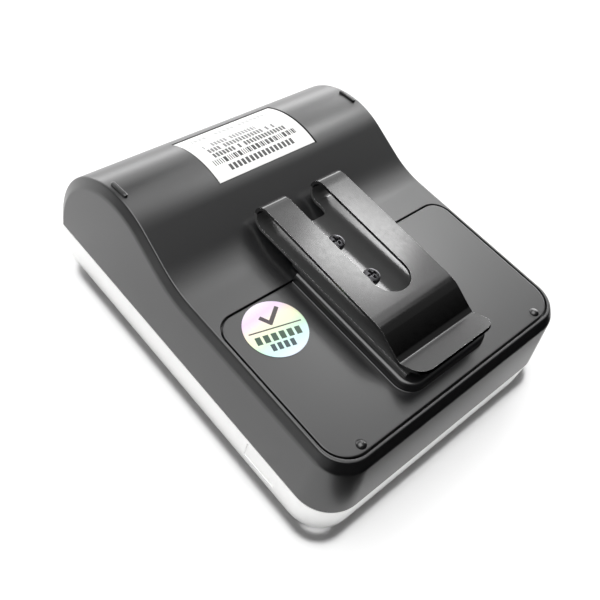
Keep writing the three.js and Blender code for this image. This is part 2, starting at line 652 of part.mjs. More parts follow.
function frontCase() {
  const lugInner = LID_OPENING_HALF;
  const lugOuter = lugInner + LID_LUG_WIDTH;
  const floorCut = [-OVERRUN, WALL + OVERRUN];
  let shell = cut(frontShellOutside(), frontShellInside());
  for (const side of [-1, 1]) {
    const span = side > 0 ? [lugInner, lugOuter] : [-lugOuter, -lugInner];
    shell = shell.add(box(span, [LID_AXIS_Y - 2 * LID_KNUCKLE, LID_AXIS_Y + 2 * LID_KNUCKLE],
      [WALL / 2, LID_AXIS_Z + 2 * LID_KNUCKLE]));
    for (const y of SCREW_ROWS) {
      const stand = post(side * SCREW_SIDE, y, POST_RADIUS, [WALL / 2, BAY_FLOOR - BAY_WALL - SEAT]);
      const bore = post(side * SCREW_SIDE, y, SCREW_SHANK_RADIUS + SHAFT_CLEARANCE,
        [BAY_FLOOR - SCREW_LENGTH - GAP, BAY_FLOOR + OVERRUN], 16);
      shell = shell.add(stand).subtract(bore);
    }
    const ledgeX = side > 0 ? [BOARD_WIDTH / 2 - WALL, BOARD_WIDTH / 2 + WALL / 2]
      : [-BOARD_WIDTH / 2 - WALL / 2, WALL - BOARD_WIDTH / 2];
    shell = shell.add(box(ledgeX, [BOARD_MID, BOARD_BACK], [WALL / 2, BOARD_BOTTOM - SEAT]));
    if (side > 0) {
      shell = shell.add(box([CHARGE_START + CHARGE_WIDTH / 2, HALF_WIDTH - WALL], CHARGE_ROW,
        [WALL / 2, BOARD_BOTTOM - SEAT]));
    }
    const footX = side > 0 ? [CHEEK_INNER, CHEEK_OUTER] : [-CHEEK_OUTER, -CHEEK_INNER];
    const footY = [CHASSIS_FRONT, OPENING_START - LID_LIP];
    shell = shell.add(box(footX, footY, [WALL / 2, CHASSIS_BOTTOM - SEAT]));
  }
  shell = cut(shell,
    box([-LID_OPENING_HALF, LID_OPENING_HALF], [OPENING_START, OPENING_END], floorCut),
    rod(LID_AXIS_Y, LID_AXIS_Z, LID_PIN + LID_PIN_CLEARANCE, [-lugOuter + WALL / 2, lugOuter - WALL / 2], 16),
    box([INNER_HALF, HALF_WIDTH + OVERRUN], [SOCKET_ROW[0] - GAP, SOCKET_ROW[1] + GAP],
      [BOARD_TOP - GAP, BOARD_TOP + SOCKET_HEIGHT + GAP]),
    box([-HALF_WIDTH - OVERRUN, -INNER_HALF + WALL],
      [RELEASE_START - GAP, RELEASE_START + RELEASE_LENGTH + GAP],
      [RELEASE_BOTTOM - GAP, RELEASE_TOP + GAP]));
  for (const x of KEY_PLACES) shell = shell.subtract(post(x, KEY_Y, KEY_RADIUS + GAP, floorCut));
  for (const x of LIGHT_PLACES) {
    shell = shell.subtract(post(x, KEY_Y, LIGHT_RADIUS + SHAFT_CLEARANCE, floorCut, 16));
  }
  const hookY = HALF_LENGTH - WALL - HOOK_THICKNESS + SEAT;
  const slots = rearHooks(hookY, [BACK_BOTTOM - HOOK_RISE - GAP, SEAM_HEIGHT + OVERRUN]);
  for (const slot of slots) shell = cut(shell, slot.translate([0, -GAP, 0]), slot.translate([0, GAP, 0]));
  return shell;
}

function padRing(inside) {
  return roundedPlan(PAD_WIDTH / 2 - inside, PAD_START + inside, COVER_END - SEAT,
    PAD_CORNER - inside, SEAT);
}

function batteryCover() {
  const plate = upright(polygon(coverPlan(0)), [COVER_BOTTOM, FLAT_HEIGHT]);
  const pad = planStack([
    { ring: padRing(0), z: COVER_BOTTOM + SEAT },
    { ring: padRing(0), z: PAD_TOP - PAD_SHOULDER },
    { ring: padRing(PAD_EDGE), z: PAD_TOP - PAD_EDGE },
    { ring: padRing(PAD_SHOULDER), z: PAD_TOP },
  ]);
  const tongue = box([-TONGUE_WIDTH / 2, TONGUE_WIDTH / 2],
    [COVER_END - TONGUE_LENGTH, COVER_END + TONGUE_LENGTH], [FLAT_HEIGHT + GAP, PAD_TOP]);
  let cover = union(plate, pad, tongue);
  for (const x of [-NUB_SIDE, NUB_SIDE]) {
    cover = cover.add(post(x, COVER_START + NUB_INSET, NUB_RADIUS,
      [FLAT_HEIGHT - WALL / 2, FLAT_HEIGHT + NUB_PROUD], 16));
  }
  for (const y of CLIP_SCREW_PLACES) {
    const bottom = CLIP_BASE_TOP - CLIP_SCREW_LENGTH - GAP;
    cover = cover.subtract(post(0, y, CLIP_SCREW_SHANK / 2 + SHAFT_CLEARANCE / 2,
      [bottom, PAD_TOP + OVERRUN], 16));
  }
  return cover;
}

// Both sides of a strip of steel along a bent centre line, as one closed outline
function stripOutline(line, thickness) {
  const offset = (side) => line.map(([u, v], i) => {
    const before = line[Math.max(i - 1, 0)];
    const after = line[Math.min(i + 1, line.length - 1)];
    const normalOf = (a, b) => {
      const length = Math.hypot(b[0] - a[0], b[1] - a[1]);
      return [-(b[1] - a[1]) / length, (b[0] - a[0]) / length];
    };
    const n0 = i > 0 ? normalOf(before, line[i]) : normalOf(line[i], after);
    const n1 = i + 1 < line.length ? normalOf(line[i], after) : n0;
    const scale = side * thickness / 2 / (1 + n0[0] * n1[0] + n0[1] * n1[1]);
    return [u + scale * (n0[0] + n1[0]), v + scale * (n0[1] + n1[1])];
  });
  return polygon([...offset(1), ...offset(-1).reverse()]);
}

function clipLine() {
  const armTop = LOOP_Z + LOOP_RADIUS;
  const baseMid = CLIP_BOTTOM + CLIP_STEEL / 2;
  const bendY = CLIP_LOOP_REACH - CLIP_ARM_LENGTH;
  const bendZ = armTop - CLIP_ARM_FALL;
  const foldY = bendY - CLIP_BEND_LENGTH;
  const foldZ = bendZ - CLIP_BEND_FALL;
  return [
    [CLIP_BASE_START, baseMid],
    ...arc(CLIP_LOOP_REACH, LOOP_Z, LOOP_RADIUS, -Math.PI / 2, Math.PI / 2, 12),
    [bendY + CLIP_BEND_LENGTH * CLIP_BEND_START_SHARE, bendZ],
    [bendY - CLIP_BEND_LENGTH * CLIP_BEND_START_SHARE, bendZ - CLIP_BEND_FALL * CLIP_BEND_DROP_SHARE],
    [foldY + CLIP_STEEL, foldZ + CLIP_STEEL / 2],
    [foldY - CLIP_STEEL / 2, foldZ],
    [foldY - CLIP_LIP_LENGTH, foldZ + CLIP_LIP_RISE],
  ];
}

function clipStrip() {
  const half = CLIP_WIDTH / 2;
  const strip = across(stripOutline(clipLine(), CLIP_STEEL), [-half, half]);
  const pastLoop = CLIP_LOOP_REACH + 2 * CLIP_LOOP_HEIGHT;
  const plan = upright(polygon(roundedPlan(half + SEAT, CLIP_LIP_END - SEAT, pastLoop,
    CLIP_LIP_CORNER, SEAT)), [FLAT_HEIGHT, BULGE_HEIGHT + OVERRUN]);
  const slotHalf = CLIP_SLOT_WIDTH / 2;
  const slotEnd = CLIP_LOOP_REACH - CLIP_SLOT_LENGTH;
  const upper = upright(polygon(roundedPlan(slotHalf, slotEnd, pastLoop, slotHalf - SEAT, SEAT)),
    [LOOP_Z, BULGE_HEIGHT + OVERRUN]);
  const lower = upright(polygon(roundedPlan(slotHalf, CLIP_LOOP_REACH - CLIP_BASE_SLOT, pastLoop,
    CLIP_BASE_SLOT_CORNER, SEAT)), [FLAT_HEIGHT, LOOP_Z + SEAT]);
  return cut(strip.intersect(plan), upper, lower);
}

function clipHalf(isArm) {
  const gap = CLIP_SPLIT / 2;
  const span = isArm ? [LOOP_Z + gap, BULGE_HEIGHT + OVERRUN] : [FLAT_HEIGHT, LOOP_Z - gap];
  const pastLoop = CLIP_LOOP_REACH + 2 * CLIP_LOOP_HEIGHT;
  const loops = box([-HALF_WIDTH, HALF_WIDTH], [CLIP_LOOP_REACH, pastLoop], span);
  const restSpan = isArm ? [CLIP_BASE_TOP + gap / 2, BULGE_HEIGHT + OVERRUN]
    : [FLAT_HEIGHT, CLIP_BASE_TOP + gap / 2];
  const rest = box([-HALF_WIDTH, HALF_WIDTH], [CLIP_LIP_END - OVERRUN, CLIP_LOOP_REACH], restSpan);
  let half = clipStrip().intersect(loops.add(rest));
  if (!isArm) {
    for (const y of CLIP_SCREW_PLACES) {
      half = half.subtract(post(0, y, CLIP_SCREW_SHANK / 2 + SHAFT_CLEARANCE, [FLAT_HEIGHT, LOOP_Z], 16));
    }
  }
  return half;
}

// Pan head screw with a cross recess, pointing down
function crossScrew(x, y, seat, head, headHeight, shank, length) {
  const profile = [
    new THREE.Vector2(0, -length),
    new THREE.Vector2(shank * SCREW_TIP_SHARE, -length),
    new THREE.Vector2(shank, -length + shank / 2),
    new THREE.Vector2(shank, 0),
    new THREE.Vector2(head, 0),
    ...SCREW_CROWN_SHARES.map(([across, up]) => new THREE.Vector2(head * across, headHeight * up)),
    new THREE.Vector2(0, headHeight),
  ];
  const body = solidOf(new THREE.LatheGeometry(profile, 20).rotateX(Math.PI / 2).translate(x, y, seat));
  const reach = CROSS_LENGTH / 2 * head / (CLIP_SCREW_HEAD / 2);
  const depth = Math.min(CROSS_DEPTH, headHeight * CROSS_DEPTH_SHARE);
  const top = [seat + headHeight - depth, seat + headHeight + OVERRUN];
  return cut(body,
    box([x - reach, x + reach], [y - CROSS_WIDTH / 2, y + CROSS_WIDTH / 2], top),
    box([x - CROSS_WIDTH / 2, x + CROSS_WIDTH / 2], [y - reach, y + reach], top));
}

function paperLid() {
  const plate = box([-LID_HALF, LID_HALF], [LID_START, LID_AXIS_Y], [LID_RECESS, LID_TOP]);
  const knuckle = rod(LID_AXIS_Y, LID_AXIS_Z, LID_KNUCKLE, [-LID_HALF, LID_HALF], 20);
  let lid = plate.add(knuckle);
  const length = LID_AXIS_Y - LID_START;
  const ribEnd = LID_AXIS_Y - 2 * LID_KNUCKLE - GAP;
  const ribStart = ROLLER_Y + 2 * ROLLER_RADIUS;
  for (const share of LID_RIB_PLACES_SHARES) {
    const x = share * LID_HALF;
    lid = lid.add(box([x - LID_RIB_WIDTH / 2, x + LID_RIB_WIDTH / 2], [ribStart, ribEnd],
      [LID_TOP - LID_THICKNESS / 2, LID_TOP + LID_RIB_HEIGHT]));
  }
  for (const side of [-1, 1]) {
    const span = side > 0 ? [EAR_INNER, EAR_OUTER] : [-EAR_OUTER, -EAR_INNER];
    lid = union(lid, rod(ROLLER_Y, ROLLER_Z, EAR_RADIUS, span, 20),
      box(span, [ROLLER_Y - EAR_RADIUS * EAR_FOOT_SHARE, ROLLER_Y + 2 * EAR_RADIUS],
        [LID_TOP - LID_THICKNESS / 2, ROLLER_Z]));
  }
  const window = LID_WINDOW_SHARES.map((share) => LID_START + share * length);
  const windowHalf = LID_RIB_PLACES_SHARES[2] * LID_HALF - LID_RIB_WIDTH - GAP;
  lid = cut(lid,
    rod(ROLLER_Y, ROLLER_Z, SHAFT_RADIUS + SHAFT_CLEARANCE, [-LID_HALF, LID_HALF], 20),
    rod(LID_AXIS_Y, LID_AXIS_Z, LID_PIN + LID_PIN_CLEARANCE, [-LID_HALF - OVERRUN, LID_HALF + OVERRUN], 16));
  return { lid, window, windowHalf };
}

function gearOutline(teeth, phase) {
  const pitch = TOOTH_MODULE * teeth / 2;
  const step = 2 * Math.PI / teeth;
  const rings = [
    [pitch - TOOTH_MODULE * DEDENDUM_SHARE, TOOTH_ROOT_SHARE],
    [pitch, TOOTH_PITCH_SHARE],
    [pitch + TOOTH_MODULE * ADDENDUM_SHARE, TOOTH_TIP_SHARE],
  ];
  const rising = rings.map(([r, share]) => [r, -share / 2]);
  const falling = rings.map(([r, share]) => [r, share / 2]).reverse();
  const points = [];
  for (let tooth = 0; tooth < teeth; tooth += 1) {
    for (const [r, share] of [...rising, ...falling]) {
      const angle = phase + (tooth + share) * step;
      points.push([r * Math.cos(angle), r * Math.sin(angle)]);
    }
  }
  return points;
}

function gear(teeth, phase, [y, z], bore, hub, hubSide) {
  const outline = polygon(gearOutline(teeth, phase).map(([u, v]) => [y + u, z + v]));
  let body = across(outline, [GEAR_INNER, GEAR_OUTER]);
  if (hub > 0) body = body.add(rod(y, z, hub, hubSide, 20));
  if (bore > 0) body = body.subtract(rod(y, z, bore, [GEAR_INNER - OVERRUN, GEAR_OUTER + OVERRUN], 16));
  return body;
}

// The idler's centre is where its pitch circle touches those of the roller gear and the pinion
function idlerCentre() {
  const near = TOOTH_MODULE * (ROLLER_TEETH + IDLER_TEETH) / 2;
  const far = TOOTH_MODULE * (IDLER_TEETH + PINION_TEETH) / 2;
  const dy = MOTOR_Y - ROLLER_Y;
  const dz = MOTOR_Z - ROLLER_Z;
  const apart = Math.hypot(dy, dz);
  const along = (near * near - far * far + apart * apart) / (2 * apart);
  const aside = Math.sqrt(Math.max(near * near - along * along, 0));
  return [ROLLER_Y + (dy * along + dz * aside) / apart, ROLLER_Z + (dz * along - dy * aside) / apart];
}

// Turn of the second gear that puts a gap of it where the first gear has a tooth
function meshPhase(firstTeeth, firstPhase, firstCentre, secondTeeth, secondCentre) {
  const turn = 2 * Math.PI;
  const angle = Math.atan2(secondCentre[1] - firstCentre[1], secondCentre[0] - firstCentre[0]);
  const fraction = firstTeeth * (angle - firstPhase) / turn;
  return angle + Math.PI - turn / secondTeeth * (1 / 2 - fraction);
}

function rollerShaft() {
  return rod(ROLLER_Y, ROLLER_Z, SHAFT_RADIUS, [-BUSH_OUTER - GAP, GEAR_OUTER + GAP], 20);
}

function chassis() {
  const back = CHASSIS_FRONT;
  const notchHalf = BUSH_RADIUS + GAP;
  let frame = box([-CHEEK_OUTER, CHEEK_OUTER], [back, HEATER_FACE],
    [CHASSIS_TOP - CHASSIS_PLATE, CHASSIS_TOP]);
  for (const side of [-1, 1]) {
    const span = side > 0 ? [CHEEK_INNER, CHEEK_OUTER] : [-CHEEK_OUTER, -CHEEK_INNER];
    let cheek = box(span, [back, CHASSIS_REAR], [CHASSIS_BOTTOM, CHASSIS_TOP]);
    cheek = cut(cheek,
      box(span, [ROLLER_Y - notchHalf, ROLLER_Y + notchHalf], [CHASSIS_BOTTOM - OVERRUN, ROLLER_Z]),
      rod(ROLLER_Y, ROLLER_Z, notchHalf, [span[0] - OVERRUN, span[1] + OVERRUN]));
    frame = frame.add(cheek);
  }
  const [idlerY, idlerZ] = idlerCentre();
  frame = cut(frame, rod(MOTOR_Y, MOTOR_Z, MOTOR_BOSS + GAP, [CHEEK_INNER - OVERRUN, CHEEK_OUTER + OVERRUN]));
  return frame.add(rod(idlerY, idlerZ, SHAFT_RADIUS - SHAFT_CLEARANCE,
    [CHEEK_OUTER - SEAT, GEAR_OUTER + GAP], 16));
}

function headPlate() {
  const half = HEAD_WIDTH / 2;
  const plate = box([-half, half], [HEAD_BACK, HEAD_FACE], [HEAD_Z, HEAD_Z + HEAD_HEIGHT]);
  const hook = box([-half, half], [HEAD_BACK, HEAD_FACE - HEAD_THICKNESS / 2],
    [HEAD_Z + HEAD_HEIGHT - SEAT, CHASSIS_TOP - CHASSIS_PLATE - SEAT]);
  return plate.add(hook);
}

function headSpring(x) {
  const back = HEAD_BACK - SPRING_STEEL / 2 - SEAT;
  const low = HEAD_Z + HEAD_HEIGHT * SPRING_FOOT_SHARE;
  const high = CHASSIS_TOP - CHASSIS_PLATE - SEAT - SPRING_STEEL / 2;
  const line = [
    [back, low], [back - SPRING_STEEL, (low + high) / 2], [back - 2 * SPRING_STEEL, high],
    [back - 2 * SPRING_STEEL - 2 * GAP, high],
  ];
  return across(stripOutline(line, SPRING_STEEL), [x - SPRING_WIDTH / 2, x + SPRING_WIDTH / 2]);
}

function motor() {
  const end = CHEEK_INNER - GAP;
  const can = rod(MOTOR_Y, MOTOR_Z, MOTOR_RADIUS, [end - MOTOR_LENGTH, end], 32);
  const boss = rod(MOTOR_Y, MOTOR_Z, MOTOR_BOSS, [end - SEAT, CHEEK_OUTER], 20);
  return can.add(boss);
}

function tearBar() {
  const half = HEAD_WIDTH / 2;
  const teeth = Math.floor(HEAD_WIDTH / TEAR_TOOTH);
  const width = HEAD_WIDTH / teeth;
  const points = [];
  for (let i = 0; i < teeth; i += 1) {
    points.push([-half + i * width, 0], [-half + (i + 1 / 2) * width, TEAR_TOOTH_HEIGHT]);
  }
  points.push([half, 0], [half, -TEAR_BAR_HEIGHT], [-half, -TEAR_BAR_HEIGHT]);
  return upright(polygon(points.map(([x, y]) => [x, OPENING_START + y])),
    [WALL + SEAT, WALL + SEAT + TEAR_BAR_THICKNESS]);
}

function usbSocket() {
  const end = HALF_WIDTH - FRONT_DRAFT - 2 * GAP;
  const start = end - SOCKET_DEPTH;
  const y = SOCKET_ROW;
  const z = [BOARD_TOP + SEAT, BOARD_TOP + SEAT + SOCKET_HEIGHT];
  const shell = box([start, end], y, z);
  const room = box([start + SOCKET_BACK, end + OVERRUN], [y[0] + SOCKET_WALL, y[1] - SOCKET_WALL],
    [z[0] + SOCKET_WALL, z[1] - SOCKET_WALL]);
  const mid = (z[0] + z[1]) / 2;
  const tongue = box([start, end - SOCKET_BACK], [y[0] + SOCKET_TONGUE_INSET, y[1] - SOCKET_TONGUE_INSET],
    [mid - SOCKET_TONGUE / 2, mid + SOCKET_TONGUE / 2]);
  return shell.subtract(room).add(tongue);
}

function pressKey(x) {
  const cap = post(x, KEY_Y, KEY_RADIUS, [LID_RECESS, WALL + GAP + KEY_FLANGE_THICKNESS], 28);
  const flange = post(x, KEY_Y, KEY_RADIUS + KEY_FLANGE,
    [WALL + GAP / 2, WALL + GAP + KEY_FLANGE_THICKNESS], 28);
  const nub = post(x, KEY_Y, KEY_NUB, [WALL, SWITCH_BOTTOM - KEY_TRAVEL - SEAT], 16);
  return union(cap, flange, nub);
}

function releaseKey() {
  const y = [RELEASE_START, RELEASE_START + RELEASE_LENGTH];
  const z = [RELEASE_BOTTOM, RELEASE_TOP];
  const face = -(HALF_WIDTH - FRONT_DRAFT) + SEAT;
  const inner = face + WALL + GAP;
  const cap = box([face, inner + RELEASE_PLATE], y, z);
  const flange = box([inner, inner + RELEASE_PLATE], [y[0] - RELEASE_FLANGE, y[1] + RELEASE_FLANGE],
    [z[0] - RELEASE_FLANGE, z[1] + RELEASE_FLANGE]);
  const rail = box([inner, inner + RELEASE_PLATE], [y[0], ROLLER_Y + BUSH_RADIUS / 2],
    [ROLLER_Z - RELEASE_RAIL, ROLLER_Z + RELEASE_RAIL]);
  const finger = box([inner, -BUSH_OUTER - RELEASE_TRAVEL - 2 * GAP],
    [ROLLER_Y - RELEASE_FINGER / 2, ROLLER_Y + RELEASE_FINGER / 2],
    [ROLLER_Z - RELEASE_RAIL, ROLLER_Z + RELEASE_RAIL]);
  return union(cap, flange, rail, finger);
}

function batteryContact(x) {
  const z = BAY_FLOOR + CONTACT_STEEL / 2 + SEAT;
  const wall = BAY_START + CONTACT_STEEL / 2 + SEAT;
  const pack = COVER_MID - PACK_LENGTH / 2 - GAP - CONTACT_STEEL / 2;
  const [tail, touch, tip] = CONTACT_RISE_SHARES.map((share) => z + PACK_HEIGHT * share);
  const line = [[wall, tail], [wall, z], [(wall + pack) / 2, z], [pack, touch], [(wall + pack) / 2, tip]];
  return across(stripOutline(line, CONTACT_STEEL), [x - CONTACT_WIDTH / 2, x + CONTACT_WIDTH / 2]);
}

function batteryPack() {
  const half = PACK_WIDTH / 2;
  const low = BAY_FLOOR + SEAT;
  const ring = (inside) => roundedPlan(half - inside, COVER_MID - PACK_LENGTH / 2 + inside,
    COVER_MID + PACK_LENGTH / 2 - inside, PACK_CORNER - inside, PACK_CORNER - inside, 4);
  return planStack([
    { ring: ring(PACK_EDGE), z: low }, { ring: ring(0), z: low + PACK_EDGE },
    { ring: ring(0), z: low + PACK_HEIGHT - PACK_EDGE }, { ring: ring(PACK_EDGE), z: low + PACK_HEIGHT },
  ]);
}

function blockOnBoard(size, x) {
  const [width, depth, height] = size;
  return box([x - width / 2, x + width / 2], [BOARD_MID - depth / 2, BOARD_MID + depth / 2],
    [BOARD_TOP + SEAT, BOARD_TOP + SEAT + height]);
}

// Case and its fixings
place('back_case', backCase(), blackPlastic);
place('front_case', frontCase(), whitePlastic);
const plateInner = BULGE_RADIUS - PLATE_RECESS + SEAT;
place('rating_plate', curvedPlate(plateInner, plateInner + PLATE_THICKNESS, 0), labelPaper);
let screwNumber = 1;
for (const x of [-SCREW_SIDE, SCREW_SIDE]) {
  for (const y of SCREW_ROWS) {
    place(`case_screw_${screwNumber}`, crossScrew(x, y, BAY_FLOOR + SEAT, SCREW_HEAD_RADIUS,
      SCREW_HEAD_HEIGHT, SCREW_SHANK_RADIUS, SCREW_LENGTH), brightSteel);
    screwNumber += 1;
  }
}

// Battery cover with the clip
place('battery_cover', batteryCover(), blackPlastic);
place('inspection_sticker', post(STICKER_X, STICKER_Y, STICKER_RADIUS,
  [FLAT_HEIGHT + SEAT, FLAT_HEIGHT + SEAT + STICKER_THICKNESS], STICKER_SIDES), stickerFilm);
place('clip_base', clipHalf(false), clipSteel);
place('clip_arm', clipHalf(true), clipSteel);
CLIP_SCREW_PLACES.forEach((y, i) => place(`clip_screw_${i + 1}`, crossScrew(0, y, CLIP_BASE_TOP + SEAT,
  CLIP_SCREW_HEAD / 2, CLIP_SCREW_HEIGHT, CLIP_SCREW_SHANK / 2, CLIP_SCREW_LENGTH), screwSteel));

// Battery
place('battery_pack', batteryPack(), packWrap);
CONTACT_PLACES.forEach((x, i) => place(`battery_contact_${i + 1}`, batteryContact(x), goldContact));

// Paper lid with the feed roller
const lidParts = paperLid();
const windowSpan = [-lidParts.windowHalf, lidParts.windowHalf];
const windowSeat = LID_THICKNESS / 2;
place('paper_lid', cut(lidParts.lid,
  box(windowSpan, lidParts.window, [LID_RECESS + windowSeat, LID_TOP + LID_RIB_HEIGHT + OVERRUN]),
  box(windowSpan.map((x) => x - Math.sign(x) * windowSeat),
    [lidParts.window[0] + windowSeat, lidParts.window[1] - windowSeat], [-OVERRUN, LID_TOP])), whitePlastic);
place('lid_window', box(windowSpan.map((x) => x - Math.sign(x) * GAP / 2),
  [lidParts.window[0] + GAP / 2, lidParts.window[1] - GAP / 2],
  [LID_RECESS + windowSeat + SEAT, LID_TOP]), clearPlastic);
place('lid_hinge_pin', rod(LID_AXIS_Y, LID_AXIS_Z, LID_PIN,
  [-LID_OPENING_HALF - LID_LUG_WIDTH + WALL, LID_OPENING_HALF + LID_LUG_WIDTH - WALL], 16), brightSteel);
place('feed_roller', rod(ROLLER_Y, ROLLER_Z, ROLLER_RADIUS, [-ROLLER_LENGTH / 2, ROLLER_LENGTH / 2], 32)
  .subtract(rod(ROLLER_Y, ROLLER_Z, SHAFT_RADIUS + SEAT, [-HALF_WIDTH, HALF_WIDTH], 20)), rollerRubber);
place('roller_shaft', rollerShaft(), brightSteel);
for (const side of ['left', 'right']) {
  const span = side === 'left' ? [-BUSH_OUTER, -BUSH_INNER] : [BUSH_INNER, BUSH_OUTER];
  place(`roller_bush_${side}`, rod(ROLLER_Y, ROLLER_Z, BUSH_RADIUS, span, 24)
    .subtract(rod(ROLLER_Y, ROLLER_Z, SHAFT_RADIUS + SHAFT_CLEARANCE, [-HALF_WIDTH, HALF_WIDTH], 20)),
  gearPlastic);
}

// Gear train
const rollerCentre = [ROLLER_Y, ROLLER_Z];
const idlerPlace = idlerCentre();
const motorPlace = [MOTOR_Y, MOTOR_Z];
const idlerPhase = meshPhase(ROLLER_TEETH, 0, rollerCentre, IDLER_TEETH, idlerPlace);
const pinionPhase = meshPhase(IDLER_TEETH, idlerPhase, idlerPlace, PINION_TEETH, motorPlace);
place('roller_gear', gear(ROLLER_TEETH, 0, rollerCentre, SHAFT_RADIUS + SEAT, 0), gearPlastic);
place('idler_gear', gear(IDLER_TEETH, idlerPhase, idlerPlace, SHAFT_RADIUS, 0), gearPlastic);
place('motor_pinion', gear(PINION_TEETH, pinionPhase, motorPlace, 0, SHAFT_RADIUS,
  [CHEEK_OUTER + SEAT, GEAR_OUTER]), gearPlastic);

// Print mechanism
place('mechanism_frame', chassis(), chassisPlastic);
place('head_plate', headPlate(), headAluminium);
place('heater_strip', box([-HEAD_WIDTH / 2, HEAD_WIDTH / 2], [HEAD_FACE + SEAT, HEATER_FACE],
  [HEAD_Z + (HEAD_HEIGHT - HEATER_HEIGHT) / 2, HEAD_Z + (HEAD_HEIGHT + HEATER_HEIGHT) / 2]), chipBlack);
SPRING_PLACES_SHARES.forEach((share, i) => place(`head_spring_${i + 1}`,
  headSpring(share * HEAD_WIDTH / 2), brightSteel));
place('feed_motor', motor(), motorSteel);
place('tear_bar', tearBar(), brightSteel);

// Electronics and keys
place('main_board', upright(polygon(roundedPlan(BOARD_WIDTH / 2, BOARD_FRONT, BOARD_BACK,
  PLAN_CORNER - BOARD_FRONT_MARGIN, BOARD_THICKNESS / 2)), [BOARD_BOTTOM, BOARD_TOP]), boardLaminate);
place('charge_board', box([CHARGE_START, CHARGE_START + CHARGE_WIDTH], CHARGE_ROW,
  [BOARD_BOTTOM, BOARD_TOP]), boardLaminate);
place('radio_module', blockOnBoard(RADIO_SIZE, RADIO_X), headAluminium);
place('head_connector', blockOnBoard(CONNECTOR_SIZE, CONNECTOR_X), gearPlastic);
place('buzzer', post(BUZZER_X, BOARD_MID, BUZZER_RADIUS,
  [BOARD_TOP + SEAT, BOARD_TOP + SEAT + BUZZER_HEIGHT], 28), chipBlack);
place('usb_socket', usbSocket(), brightSteel);
['power', 'feed'].forEach((name, i) => {
  const x = KEY_PLACES[i];
  place(`${name}_key`, pressKey(x), chassisPlastic);
  const half = SWITCH_SIZE / 2;
  place(`${name}_switch`, box([x - half, x + half], [KEY_Y - half, KEY_Y + half],
    [SWITCH_BOTTOM, BOARD_BOTTOM - SEAT]), chipBlack);
});
LIGHT_PLACES.forEach((x, i) => {
  const [width, depth, height] = LED_SIZE;
  const ledBottom = BOARD_BOTTOM - SEAT - height;
  place(`status_led_${i + 1}`, box([x - width / 2, x + width / 2], [KEY_Y - depth / 2, KEY_Y + depth / 2],
    [ledBottom, BOARD_BOTTOM - SEAT]), clearPlastic);
  place(`light_pipe_${i + 1}`, post(x, KEY_Y, LIGHT_RADIUS, [LID_RECESS, ledBottom - SEAT], 20)
    .add(post(x, KEY_Y, LIGHT_RADIUS + LIGHT_FLANGE, [WALL + SEAT, WALL + LIGHT_FLANGE], 20)), clearPlastic);
});
place('release_key', releaseKey(), whitePlastic);
const sensorStart = BAY_END + SENSOR_STEP;
place('paper_sensor', box([SENSOR_X, SENSOR_X + SENSOR_WIDTH], [sensorStart, sensorStart + SENSOR_LENGTH],
  [CHASSIS_TOP + SEAT, BAY_FLOOR - BAY_WALL - SEAT]), chipBlack);

export default object;
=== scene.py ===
"""Looks of the portable receipt printer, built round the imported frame.

The printer lies on its white front face. Surfaces are worked out in millimetres, as arrays, and turned
into metres when they become a mesh.
"""

import json
import math

import bmesh
import bpy
import numpy as np
from mathutils import Matrix, Vector


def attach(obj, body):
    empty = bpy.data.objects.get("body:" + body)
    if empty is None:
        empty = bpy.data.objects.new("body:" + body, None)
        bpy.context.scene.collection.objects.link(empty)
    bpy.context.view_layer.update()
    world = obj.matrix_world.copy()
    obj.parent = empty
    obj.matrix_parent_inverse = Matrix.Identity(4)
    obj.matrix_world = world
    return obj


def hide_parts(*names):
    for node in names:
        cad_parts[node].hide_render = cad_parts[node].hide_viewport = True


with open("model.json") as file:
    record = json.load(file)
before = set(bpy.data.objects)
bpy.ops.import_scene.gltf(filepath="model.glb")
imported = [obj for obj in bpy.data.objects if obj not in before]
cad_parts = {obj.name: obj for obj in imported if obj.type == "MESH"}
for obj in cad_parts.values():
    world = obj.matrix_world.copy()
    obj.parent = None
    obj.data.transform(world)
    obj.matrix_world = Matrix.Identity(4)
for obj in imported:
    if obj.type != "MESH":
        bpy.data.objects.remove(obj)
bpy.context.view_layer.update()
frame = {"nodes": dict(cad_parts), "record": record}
NODES = frame["nodes"]
BODY_OF = {node: body for body, nodes in frame["record"]["behaviour"]["bodies"].items() for node in nodes}
SLOT_OF = {entry["node"]: entry["material_slot"] for entry in frame["record"]["subparts"]}

MM = 0.001

# Case, outside (mm)
HALF_WIDTH = 40.0
HALF_LENGTH = 50.5
FLAT_Z = 26.7
SEAM_TOP = 9.65
CHAMFER_WIDTH = 1.3
CHAMFER_DEPTH = 2.4
SIDE_DRAFT = 0.8
END_DRAFT = 1.75
BULGE_RADIUS = 22.3
BULGE_Y = HALF_LENGTH - BULGE_RADIUS
BULGE_Z = 34.7 - BULGE_RADIUS
VALLEY_RADIUS = 25.0
SLOPE = math.radians(25)
SEAM_CORNER = 9.2
WALL = 1.6
SIDE_WALL = 1.8
INNER_HALF = HALF_WIDTH - SIDE_DRAFT - SIDE_WALL
SHOULDER_Z = FLAT_Z - CHAMFER_DEPTH
RIM_LINE = 0.38
SIDE_SHARES = np.array([0.0, 0.33, 0.66, 1.0])

# How far each corner of the path from the seam to the top is cut back, and columns beside the label
EDGE_CUTS = [0, 0.55, 0.4, 0]
TOP_COLUMNS = [-28.0, -24.0, -19.0, 21.0, 25.0, 29.0]

# Gap left between pieces that rest on one another
SEAT = 0.05

